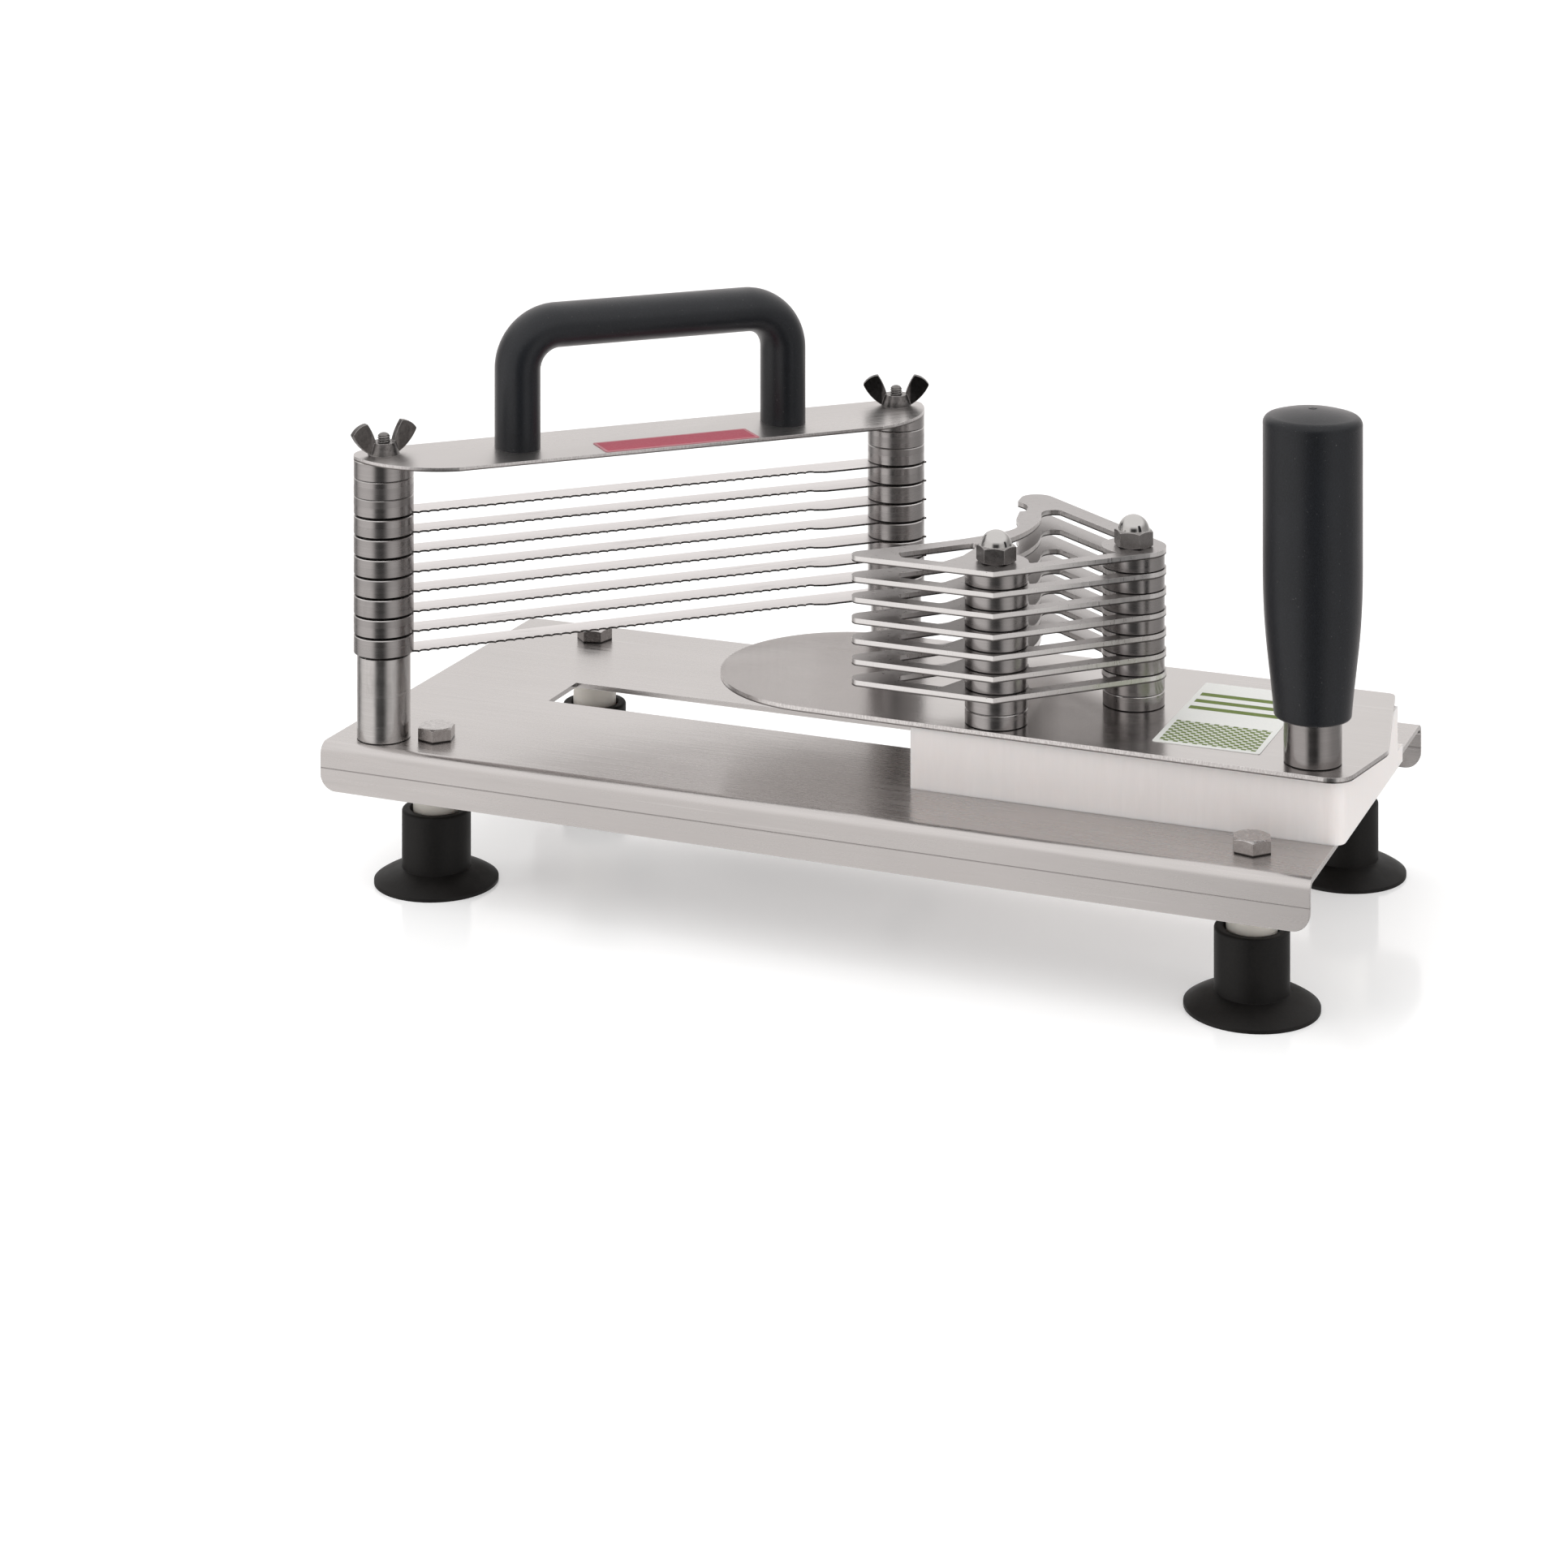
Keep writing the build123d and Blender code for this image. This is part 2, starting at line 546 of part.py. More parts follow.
# ---- pusher fingers ----
def finger_outline():
    """Forked plate: a front arm along X, a back along the finger posts and a hooked rear arm."""
    post = FINGER_POST_REAR
    reach = FINGER_END_RADIUS
    back_start = (48.0, FINGER_FRONT_Y)
    back_angle = radians(-44.0)
    arm_angle = radians(49.0)
    back_end = (post[0] + reach * cos(back_angle), post[1] + reach * sin(back_angle))
    end_middle = (post[0] + reach, post[1] + 0.4)
    arm_start = (post[0] + reach * cos(arm_angle), post[1] + reach * sin(arm_angle))
    with BuildSketch() as outline:
        with BuildLine():
            Line((6.0, FINGER_FRONT_Y + 1.0), back_start)
            Line(back_start, back_end)
            ThreePointArc(back_end, end_middle, arm_start)
            Line(arm_start, (37.0, 41.7))
            ThreePointArc((37.0, 41.7), (32.0, 42.6), (28.6, 38.0))
            ThreePointArc((28.6, 38.0), (28.9, 34.6), (29.3, 32.0))
            Line((29.3, 32.0), (31.6, 30.4))
            ThreePointArc((31.6, 30.4), (34.6, 26.0), (35.0, 22.0))
            Line((35.0, 22.0), (33.6, 20.6))
            Line((33.6, 20.6), (35.4, 12.0))
            Line((35.4, 12.0), (37.2, 8.3))
            ThreePointArc((37.2, 8.3), (38.6, 2.6), (37.3, -2.4))
            ThreePointArc((37.3, -2.4), (28.2, -15.6), (18.0, -26.5))
            Line((18.0, -26.5), (5.2, -39.0))
            ThreePointArc((5.2, -39.0), (3.7, -42.8), (6.0, FINGER_FRONT_Y + 1.0))
        make_face()
    return outline.sketch


def front_window():
    """Rounded opening in the front arm."""
    with BuildSketch() as window:
        with BuildLine():
            Polyline(
                (15.8, -37.2),
                (18.2, -41.2),
                (31.0, -41.6),
                (34.2, -33.0),
                (34.8, -24.0),
                (33.6, -17.6),
                (15.8, -37.2),
            )
        make_face()
        fillet(window.vertices(), 1.4)
    return window.sketch


def around(post, radius, degrees):
    return (post[0] + radius * cos(radians(degrees)), post[1] + radius * sin(radians(degrees)))


def rear_window():
    """Large opening that leaves narrow strips along the cradle, the back and the rear arm."""
    boss = FINGER_BOSS_RADIUS
    hook = (40.2, 21.6)
    arm_start = (44.6, 26.8)
    with BuildSketch() as window:
        with BuildLine():
            ThreePointArc(hook, (41.1, 25.3), arm_start)
            Line(arm_start, around(FINGER_POST_REAR, boss, 119))
            ThreePointArc(
                around(FINGER_POST_REAR, boss, 119),
                around(FINGER_POST_REAR, boss, 189),
                around(FINGER_POST_REAR, boss, 259),
            )
            Line(around(FINGER_POST_REAR, boss, 259), around(FINGER_POST_FRONT, boss, 6))
            ThreePointArc(
                around(FINGER_POST_FRONT, boss, 6),
                around(FINGER_POST_FRONT, boss, 51),
                around(FINGER_POST_FRONT, boss, 97),
            )
            Line(around(FINGER_POST_FRONT, boss, 97), (40.6, -10.0))
            ThreePointArc((40.6, -10.0), (42.9, 4.5), hook)
        make_face()
        fillet(window.vertices().sort_by(Axis.Y)[:-2], 0.8)
    return window.sketch


def pusher_finger(level):
    outline = finger_outline() - front_window() - rear_window()
    for point in (FINGER_POST_FRONT, FINGER_POST_REAR):
        outline -= Pos(point[0], point[1]) * Circle(M6_HOLE_RADIUS)
    return Pos(0, 0, FIRST_FINGER + level * FINGER_PITCH) * extrude(outline, FINGER_THICKNESS)


def finger_spacers(point):
    """Two rings under the lowest finger, then one above each finger but the top one."""
    bottoms = [SLED_PLATE_TOP, SLED_PLATE_TOP + FINGER_RING_HEIGHT]
    bottoms += [FIRST_FINGER + level * FINGER_PITCH + FINGER_THICKNESS for level in range(FINGER_COUNT - 1)]
    return [
        ring(point, bottom, FINGER_RING_HEIGHT, RING_RADIUS, M6_HOLE_RADIUS, RING_EDGE)
        for bottom in bottoms
    ]


def finger_rod(point):
    bottom = BASE_TOP + COUNTERBORE_DEPTH - M6_NUT_HEIGHT
    return disc(point, bottom, TOP_FINGER_TOP + ACORN_HEX_HEIGHT + 1.0 - bottom, M6_RADIUS)


def acorn_nut(point, angle):
    """Hexagon with a polished dome, bored blind for the rod."""
    dome_height = ACORN_HEIGHT - ACORN_HEX_HEIGHT
    hexagon = hex_body((0, 0), 0, ACORN_HEX_HEIGHT, M6_ACROSS_FLATS, round_top=True, round_bottom=True)
    neck_height = ACORN_HEIGHT - ACORN_DOME_RADIUS
    dome = Cylinder(ACORN_DOME_RADIUS, neck_height, align=ON_BOTTOM)
    dome += Pos(0, 0, neck_height) * Sphere(ACORN_DOME_RADIUS)
    dome &= Cylinder(ACORN_DOME_RADIUS, ACORN_HEX_HEIGHT + dome_height, align=ON_BOTTOM)
    nut = hexagon + dome
    nut -= Cylinder(M6_RADIUS, ACORN_HEX_HEIGHT + 1.0, align=ON_BOTTOM)
    return Pos(point[0], point[1], TOP_FINGER_TOP) * Rot(0, 0, angle) * nut


# ---- push grip ----
def grip_ferrule():
    height = GRIP_BOTTOM - SLED_PLATE_TOP
    return ring(GRIP, SLED_PLATE_TOP, height, FERRULE_RADIUS, SPINDLE_RADIUS + 0.1, edge=0.3)


def grip_spindle():
    bottom = BASE_TOP + COUNTERBORE_DEPTH - M6_NUT_HEIGHT
    shank = disc(GRIP, bottom, SPINDLE_TOP - bottom, SPINDLE_RADIUS)
    head = disc(GRIP, SPINDLE_TOP - SPINDLE_HEAD_HEIGHT, SPINDLE_HEAD_HEIGHT, SPINDLE_HEAD_RADIUS)
    return shank + head


def push_grip():
    """Moulded grip: straight upper half, taper to the ferrule, softly domed top."""
    clearance = SPINDLE_CLEARANCE
    head_bottom = SPINDLE_TOP - SPINDLE_HEAD_HEIGHT - clearance
    bore = SPINDLE_RADIUS + clearance
    chamber = SPINDLE_HEAD_RADIUS + clearance
    with BuildSketch(Plane.XZ) as section:
        with BuildLine():
            Line((bore, GRIP_BOTTOM), (GRIP_WAIST_RADIUS - 1.0, GRIP_BOTTOM))
            RadiusArc((GRIP_WAIST_RADIUS - 1.0, GRIP_BOTTOM), (GRIP_WAIST_RADIUS, GRIP_BOTTOM + 1.0), -1.0)
            Spline(
                (GRIP_WAIST_RADIUS, GRIP_BOTTOM + 1.0),
                (12.9, GRIP_BOTTOM + 22.0),
                (GRIP_RADIUS, GRIP_SHOULDER),
                tangents=((0.08, 1.0), (0.0, 1.0)),
            )
            Line((GRIP_RADIUS, GRIP_SHOULDER), (GRIP_RADIUS, GRIP_TOP - 4.6))
            ThreePointArc((GRIP_RADIUS, GRIP_TOP - 4.6), (13.3, GRIP_TOP - 2.9), (11.6, GRIP_TOP - 1.8))
            cap_arc(11.6, GRIP_TOP - 1.8, GRIP_TOP)
            Polyline(
                (0, GRIP_TOP),
                (0, SPINDLE_TOP + clearance),
                (chamber, SPINDLE_TOP + clearance),
                (chamber, head_bottom),
                (bore, head_bottom),
                (bore, GRIP_BOTTOM),
            )
        make_face()
    return Pos(GRIP[0], GRIP[1], 0) * revolve(section.sketch, Axis.Z)


def sled_label():
    outline = Pos(*SLED_LABEL_CENTRE) * RectangleRounded(*SLED_LABEL_SIZE, LABEL_CORNER)
    return Pos(0, 0, SLED_PLATE_TOP) * extrude(outline, LABEL_THICKNESS)


# ---- assembly ----
def build_base():
    feet = list(FOOT_SIDES.values())
    save("base_plate", base_plate())
    save("foot_bolts", *[foot_bolt(side) for side in FOOT_SIDES])
    save("foot_spacers", *[foot_spacer(point) for point in feet])
    save("foot_nuts", *[foot_nut(point) for point in feet])
    for side, point in FOOT_SIDES.items():
        save(f"suction_foot_{side}", suction_foot(point))


def build_blade_frame():
    for side, point in (("front", POST_FRONT), ("rear", POST_REAR)):
        save(f"post_column_{side}", post_column(point))
        save(f"tie_rod_{side}", tie_rod(point))
        save(f"blade_spacers_{side}", *blade_spacers(point))
    save("tie_rod_nuts", tie_rod_nut(POST_FRONT), tie_rod_nut(POST_REAR))
    for level in range(BLADE_COUNT):
        save(f"blade_{level + 1}", blade(level))
    save("top_plate", top_plate())
    save("carry_handle", carry_handle())
    save("carry_handle_screws", carry_handle_screw(HANDLE_LEG_1), carry_handle_screw(HANDLE_LEG_2))
    save("wing_nut_front", wing_nut(POST_FRONT, WING_ANGLE_FRONT))
    save("wing_nut_rear", wing_nut(POST_REAR, WING_ANGLE_REAR))
    save("frame_label", frame_label())


def build_sled():
    save("sled_plate", sled_plate())
    save("sled_block", sled_block())
    save("sled_keeper", sled_keeper())
    save("keeper_screws", *[keeper_screw(x) for x in KEEPER_SCREW_X])
    save("sled_label", sled_label())
    for level in range(FINGER_COUNT):
        save(f"pusher_finger_{level + 1}", pusher_finger(level))
    for side, point in (("front", FINGER_POST_FRONT), ("rear", FINGER_POST_REAR)):
        save(f"finger_spacers_{side}", *finger_spacers(point))
        save(f"finger_rod_{side}", finger_rod(point))
    save("acorn_nuts", acorn_nut(FINGER_POST_FRONT, 12.0), acorn_nut(FINGER_POST_REAR, 4.0))
    posts = (FINGER_POST_FRONT, FINGER_POST_REAR)
    save("finger_rod_nuts", *[counterbored_nut(post, M6_ACROSS_FLATS, M6_RADIUS) for post in posts])
    save("grip_spindle_nut", counterbored_nut(GRIP, SPINDLE_NUT_ACROSS_FLATS, SPINDLE_RADIUS))
    save("grip_ferrule", grip_ferrule())
    save("grip_spindle", grip_spindle())
    save("push_grip", push_grip())


os.makedirs("parts", exist_ok=True)
build_base()
build_blade_frame()
build_sled()
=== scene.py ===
from functools import partial
from math import cos, pi, radians, sin, sqrt

import bmesh
import bpy
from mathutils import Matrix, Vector


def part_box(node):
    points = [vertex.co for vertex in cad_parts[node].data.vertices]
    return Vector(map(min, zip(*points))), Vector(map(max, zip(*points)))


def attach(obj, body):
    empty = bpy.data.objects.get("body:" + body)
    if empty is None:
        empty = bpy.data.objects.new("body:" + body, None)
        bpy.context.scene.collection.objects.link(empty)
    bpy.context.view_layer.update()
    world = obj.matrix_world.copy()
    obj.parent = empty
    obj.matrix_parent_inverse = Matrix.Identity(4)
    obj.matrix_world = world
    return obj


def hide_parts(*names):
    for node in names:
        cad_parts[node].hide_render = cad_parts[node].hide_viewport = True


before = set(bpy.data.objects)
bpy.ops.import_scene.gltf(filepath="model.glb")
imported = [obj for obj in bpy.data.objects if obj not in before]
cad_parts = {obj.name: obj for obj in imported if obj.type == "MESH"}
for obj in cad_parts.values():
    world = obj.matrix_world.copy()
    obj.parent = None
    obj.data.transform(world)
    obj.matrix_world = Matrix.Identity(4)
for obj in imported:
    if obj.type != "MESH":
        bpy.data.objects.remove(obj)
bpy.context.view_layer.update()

# Looks of a manual tomato slicer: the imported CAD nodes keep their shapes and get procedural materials.
# The tie rods are replaced by rods with a real thread. Everything is in metres, +Z up.

MM = 0.001

# ---- sizes shared with the CAD part ----
POST_ANGLE = radians(45.0)
FINGER_COUNT = 7
RING_PITCH = 5.95 * MM
ACORN_HEX_HEIGHT = 4.8 * MM
WING_NUT_HUB_RADIUS = 4.8 * MM
PRESS_LINE_HEIGHT = 35.1 * MM

# ---- camera: level, from the front right, with the lens shifted down ----
CAMERA_PLACE = (0.3575, -0.957, 0.3695)
CAMERA_TURN = radians(22.30)
CAMERA_SHIFT = -0.7252
SAME_PLACE = 0.0001
SENSOR_WIDTH = 36.0
CAMERA_LENS = 77.96

# ---- studio panels seen in reflections: compass angle from +X in degrees, brightness ----
PANELS = ((-180, 0.55), (-168, 0.85), (-150, 1.0), (-108, 1.0), (-98, 0.55), (-91, 0.10), (-62, 0.05),
          (-53, 0.22), (-44, 0.60), (-25, 0.75), (5, 0.50), (45, 0.42), (72, 0.65), (92, 1.0),
          (135, 1.0), (150, 0.75), (163, 0.25), (172, 0.25), (180, 0.55))
PANEL_TINT = (1.0, 0.975, 0.96)
CEILING = (1.15, 1.13, 1.12)
CEILING_FROM, CEILING_FULL = 0.30, 0.60

# ---- base colours, linear ----
STEEL = (0.60, 0.575, 0.565)
BRIGHT_STEEL = (0.80, 0.78, 0.77)
COLUMN_STEEL = (0.62, 0.60, 0.59)
NUT_STEEL = (0.70, 0.68, 0.67)
DULL_STEEL = (0.43, 0.41, 0.405)
FERRULE_STEEL = (0.36, 0.34, 0.335)
ROD_STEEL = (0.22, 0.21, 0.205)
DARK_STEEL = (0.13, 0.12, 0.118)
# Wing tones, painted dark as a painted reflection of dark surroundings; the rear one is darker.
FRONT_WING_PAINTED_DARK = (0.16, 0.15, 0.145)
REAR_WING_PAINTED_DARK = (0.045, 0.043, 0.042)
# Dark painted shade band along the lower rim of the finger plates' upright edges.
PAINTED_RIM_SHADE = (0.12, 0.11, 0.107)
# Near-black painted shade: the blades' upright edges, the bars' downward faces and the foot of the bolt
# heads.
PAINTED_SHADE_BLACK = (0.03, 0.027, 0.026)
BLACK_PLASTIC = (0.0085, 0.0098, 0.0125)
RUBBER = (0.0050, 0.0044, 0.0040)
POLYETHYLENE = (0.87, 0.82, 0.80)
NYLON = (0.72, 0.68, 0.62)
LABEL_RED = (0.50, 0.060, 0.105)
LABEL_WHITE = (0.86, 0.86, 0.83)
LABEL_GREEN = (0.13, 0.19, 0.025)


# ---- small geometry helpers ----
def centre(node):
    """Middle of a CAD node's box."""
    low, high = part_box(node)
    return (low + high) / 2


def post_line(point):
    """A point in the axes that run along and across the blades, at height zero."""
    along = point.x * cos(POST_ANGLE) + point.y * sin(POST_ANGLE)
    across = -point.x * sin(POST_ANGLE) + point.y * cos(POST_ANGLE)
    return Vector((along, across, 0.0))


def shade(factor, colour):
    """The same colour, darker or brighter."""
    return tuple(factor * channel for channel in colour)


def mesh_object(name, verts, faces, smooth=True):
    mesh = bpy.data.meshes.new(name)
    mesh.from_pydata(verts, [], faces)
    mesh.update()
    work = bmesh.new()
    work.from_mesh(mesh)
    bmesh.ops.recalc_face_normals(work, faces=work.faces)
    work.to_mesh(mesh)
    work.free()
    if smooth:
        mesh.shade_smooth()
    obj = bpy.data.objects.new(name, mesh)
    bpy.context.scene.collection.objects.link(obj)
    return obj


def lathe(name, axis, rows, sides):
    """Closed body of near-circular sections. A row is a height and a function from angle to radius."""
    verts = []
    for height, radius_at in rows:
        for side in range(sides):
            angle = 2 * pi * side / sides
            radius = radius_at(angle)
            verts.append((axis.x + radius * cos(angle), axis.y + radius * sin(angle), height))
    faces = []
    for row in range(len(rows) - 1):
        low = row * sides
        high = low + sides
        for side in range(sides):
            after = (side + 1) % sides
            faces.append((low + side, low + after, high + after, high + side))
    faces.append(tuple(range(sides)))
    last = (len(rows) - 1) * sides
    faces.append(tuple(range(last, last + sides)))
    return mesh_object(name, verts, faces)


# ---- node graph builders ----
class Graph:
    """Adds nodes to one node tree. An input may be given a value or another node's socket."""

    def __init__(self, tree):
        self.tree = tree

    def node(self, kind, inputs=None, **settings):
        made = self.tree.nodes.new(kind)
        for key, value in settings.items():
            setattr(made, key, value)
        for key, value in (inputs or {}).items():
            if isinstance(value, bpy.types.NodeSocket):
                self.tree.links.new(value, made.inputs[key])
            else:
                made.inputs[key].default_value = value
        return made

    def math(self, operation, a, b=0.0):
        return self.node("ShaderNodeMath", {0: a, 1: b}, operation=operation).outputs[0]

    def vector(self, operation, a, b):
        return self.node("ShaderNodeVectorMath", {0: a, 1: b}, operation=operation).outputs[0]

    def split(self, vector):
        return self.node("ShaderNodeSeparateXYZ", {0: vector}).outputs

    def join(self, x, y, z):
        return self.node("ShaderNodeCombineXYZ", {0: x, 1: y, 2: z}).outputs[0]

    def spread(self, value, low, high, to_low=0.0, to_high=1.0):
        """Map low..high to to_low..to_high, held at both ends."""
        inputs = {"Value": value, "From Min": low, "From Max": high, "To Min": to_low, "To Max": to_high}
        return self.node("ShaderNodeMapRange", inputs).outputs[0]

    def blend(self, amount, a, b):
        """Colour a where amount is 0, colour b where it is 1."""
        made = self.node("ShaderNodeMix", {0: amount}, data_type="RGBA")
        for index, colour in ((6, a), (7, b)):
            if isinstance(colour, bpy.types.NodeSocket):
                self.tree.links.new(colour, made.inputs[index])
            else:
                made.inputs[index].default_value = (*colour, 1.0)
        return made.outputs[2]

    def panels(self, direction):
        """Light and dark studio panels round the object, by the compass angle of a direction."""
        x, y, z = self.split(direction)
        share = self.spread(self.math("ARCTAN2", y, x), -pi, pi)
        ramp = self.node("ShaderNodeValToRGB", {"Fac": share})
        stops = ramp.color_ramp.elements
        stops[0].position, stops[1].position = 0.0, 1.0
        for angle, _ in PANELS[1:-1]:
            stops.new((angle + 180) / 360)
        for stop, (_, level) in zip(stops, PANELS):
            stop.color = (*shade(level, PANEL_TINT), 1.0)
        return self.blend(self.spread(z, CEILING_FROM, CEILING_FULL), ramp.outputs[0], CEILING)


class Look(Graph):
    """One node material, built up around a Principled shader. Lengths are in metres."""

    def __init__(self, name):
        self.material = bpy.data.materials.new(name)
        self.material.use_nodes = True
        super().__init__(self.material.node_tree)
        self.shader = self.tree.nodes["Principled BSDF"]
        self.place = self.node("ShaderNodeTexCoord").outputs["Object"]
        self.normal = self.node("ShaderNodeNewGeometry").outputs["Normal"]

    def set(self, key, value):
        """Give the shader's input a value, a colour or a socket."""
        if isinstance(value, bpy.types.NodeSocket):
            self.tree.links.new(value, self.shader.inputs[key])
        elif isinstance(value, tuple) and len(value) == 3 and key not in ("Subsurface Radius", "Tangent"):
            self.shader.inputs[key].default_value = (*value, 1.0)
        else:
            self.shader.inputs[key].default_value = value

    def turned(self, angle):
        """Object coordinates seen from axes turned by angle about +Z."""
        return self.node("ShaderNodeMapping", {"Vector": self.place, "Rotation": (0, 0, -angle)}).outputs[0]

    def noise(self, scale, vector=None, detail=3.0, roughness=0.5, shift=0.0):
        """Noise whose cell size is set per axis: scale is in cells per metre."""
        vector = self.place if vector is None else vector
        inputs = {"Vector": vector, "Scale": scale, "Location": (shift, shift, shift)}
        scaled = self.node("ShaderNodeMapping", inputs).outputs[0]
        inputs = {"Vector": scaled, "Scale": 1.0, "Detail": detail, "Roughness": roughness}
        return self.node("ShaderNodeTexNoise", inputs).outputs[0]

    def edges(self, radius, start=0.02, full=0.25):
        """1 on sharp edges, falling to 0 away from them."""
        inputs = {0: self.soft_edges(radius), 1: self.normal}
        same = self.node("ShaderNodeVectorMath", inputs, operation="DOT_PRODUCT")
        return self.spread(same.outputs["Value"], 1.0 - start, 1.0 - full)

    def soft_edges(self, radius):
        """The normal, rounded off near sharp edges."""
        return self.node("ShaderNodeBevel", {"Radius": radius}, samples=4).outputs[0]

    def bump(self, height, depth, base=None):
        inputs = {"Height": height, "Distance": depth, "Strength": 1.0}
        if base is not None:
            inputs["Normal"] = base
        return self.node("ShaderNodeBump", inputs).outputs[0]

    def facing_up(self):
        """1 on faces that look up or down, 0 on upright faces."""
        z = self.split(self.normal)[2]
        return self.spread(self.math("ABSOLUTE", z), 0.45, 0.75)

    def along(self, x, y):
        """A fixed direction of the object, for the brushed highlight."""
        inputs = {0: self.join(x, y, 0.0)}
        made = self.node("ShaderNodeVectorTransform", inputs, convert_from="OBJECT", convert_to="WORLD")
        return made.outputs[0]

    def from_axis(self, axis):
        """Object coordinates and distance from an upright axis, as x, y, z, radius."""
        x, y, z = self.split(self.vector("SUBTRACT", self.place, (axis[0], axis[1], 0.0)))
        squares = self.math("ADD", self.math("MULTIPLY", x, x), self.math("MULTIPLY", y, y))
        return x, y, z, self.math("SQRT", squares)


# ---- steel ----
def sheared_edge(look, colour, low):
    """Upright faces of a sheet: mottled bright metal over a painted shade line along the lower rim."""
    height = look.split(look.place)[2]
    mottle = look.noise((2200, 2200, 900), detail=2.0, roughness=0.5, shift=6.4)
    cut = look.blend(look.spread(mottle, 0.30, 0.70), (0.58, 0.55, 0.545), (0.78, 0.76, 0.75))
    # Painted shade: a dark band along the lower rim of the upright face.
    above_rim_shade = look.spread(height, low + 0.2 * MM, low + 0.5 * MM)
    cut = look.blend(above_rim_shade, (0.16, 0.145, 0.14), cut)
    return look.blend(look.facing_up(), cut, colour)


def brushed_sheet(name, angle, roughness, anisotropy, grain_scale=(22, 1500, 1500),
                  grain_depth=0.012 * MM, edge_bottom=None):
    """Sheet brushed along one direction, with long grain, faint clouding and edges painted bright, partly
    wear and partly a painted highlight.
    """
    look = Look(name)
    axes = look.turned(angle)
    grain = look.noise(grain_scale, axes, detail=4.0, roughness=0.6)
    hair = look.noise((60, 4200, 4200), axes, detail=2.0, shift=3.1)
    cloud = look.noise((14, 26, 26), axes, detail=3.0, shift=7.7)
    scratch = look.spread(look.noise((9, 900, 900), axes, detail=1.0, shift=1.7), 0.70, 0.76)
    edge = look.edges(0.5 * MM)
    colour = look.blend(look.spread(grain, 0.3, 0.7), shade(0.9, STEEL), STEEL)
    colour = look.blend(look.spread(cloud, 0.35, 0.75, 0.0, 0.22), colour, shade(0.86, STEEL))
    colour = look.blend(look.math("MULTIPLY", scratch, 0.25), colour, BRIGHT_STEEL)
    # Painted highlight, partly wear: the edges are blended towards bright steel.
    colour = look.blend(look.math("MULTIPLY", edge, 0.8), colour, BRIGHT_STEEL)
    if edge_bottom is not None:
        colour = sheared_edge(look, colour, edge_bottom)
    look.colour = colour
    look.set("Base Color", colour)
    rough = look.math("ADD", look.spread(grain, 0.3, 0.7, -0.05, 0.05), roughness)
    rough = look.math("ADD", rough, look.spread(cloud, 0.35, 0.75, -0.03, 0.05))
    look.set("Roughness", rough)
    look.set("Metallic", 1.0)
    look.set("Anisotropic", anisotropy)
    look.set("Tangent", look.along(-sin(angle), cos(angle)))
    height = look.math("ADD", grain, look.math("MULTIPLY", hair, 0.6))
    look.set("Normal", look.bump(height, grain_depth, look.soft_edges(0.25 * MM)))
    return look


def base_sheet():
    """Brushed sheet with the dark line that the press tool leaves along both flanges."""
    look = brushed_sheet("base_sheet_steel", 0.0, 0.27, 0.4, grain_scale=(35, 1100, 600),
                         grain_depth=0.003 * MM)
    height = look.split(look.place)[2]
    off_line = look.math("ABSOLUTE", look.math("SUBTRACT", height, PRESS_LINE_HEIGHT))
    line = look.math("MULTIPLY", look.spread(off_line, 0.35 * MM, 0.10 * MM), 0.6)
    look.set("Base Color", look.blend(line, look.colour, (0.22, 0.20, 0.195)))
    return look.material


def blade_steel(front_axis):
    """Ground strip: pale polished faces, a honed band at the teeth and the serrated upright edge painted near
    black as shade.
    """
    look = Look("blade_steel")
    axes = look.vector("SUBTRACT", look.turned(POST_ANGLE), front_axis)
    across = look.split(axes)[1]
    grain = look.noise((30, 3000, 3000), axes, detail=3.0)
    stain = look.noise((28, 120, 900), axes, detail=4.0, roughness=0.65, shift=2.3)
    honed = look.spread(across, -1.9 * MM, -2.5 * MM)
    hone_marks = look.noise((2600, 90, 90), axes, detail=2.0, shift=5.2)
    face = look.blend(look.spread(grain, 0.3, 0.7), (0.70, 0.67, 0.665), (0.80, 0.775, 0.77))
    face = look.blend(look.spread(stain, 0.60, 0.74, 0.0, 0.45), face, (0.36, 0.34, 0.34))
    hone_shine = look.math("MULTIPLY", honed, look.spread(hone_marks, 0.35, 0.65, 0.1, 0.5))
    face = look.blend(hone_shine, face, BRIGHT_STEEL)
    # Painted shade: the upright serrated edge is painted near black.
    side = look.blend(look.spread(hone_marks, 0.35, 0.65), PAINTED_SHADE_BLACK, DARK_STEEL)
    look.set("Base Color", look.blend(look.facing_up(), side, face))
    look.set("Metallic", 1.0)
    look.set("Roughness", look.math("ADD", look.spread(grain, 0.3, 0.7, -0.03, 0.04), 0.34))
    height = look.math("ADD", grain, look.math("MULTIPLY", honed, hone_marks))
    look.set("Normal", look.bump(height, 0.01 * MM))
    return look.material


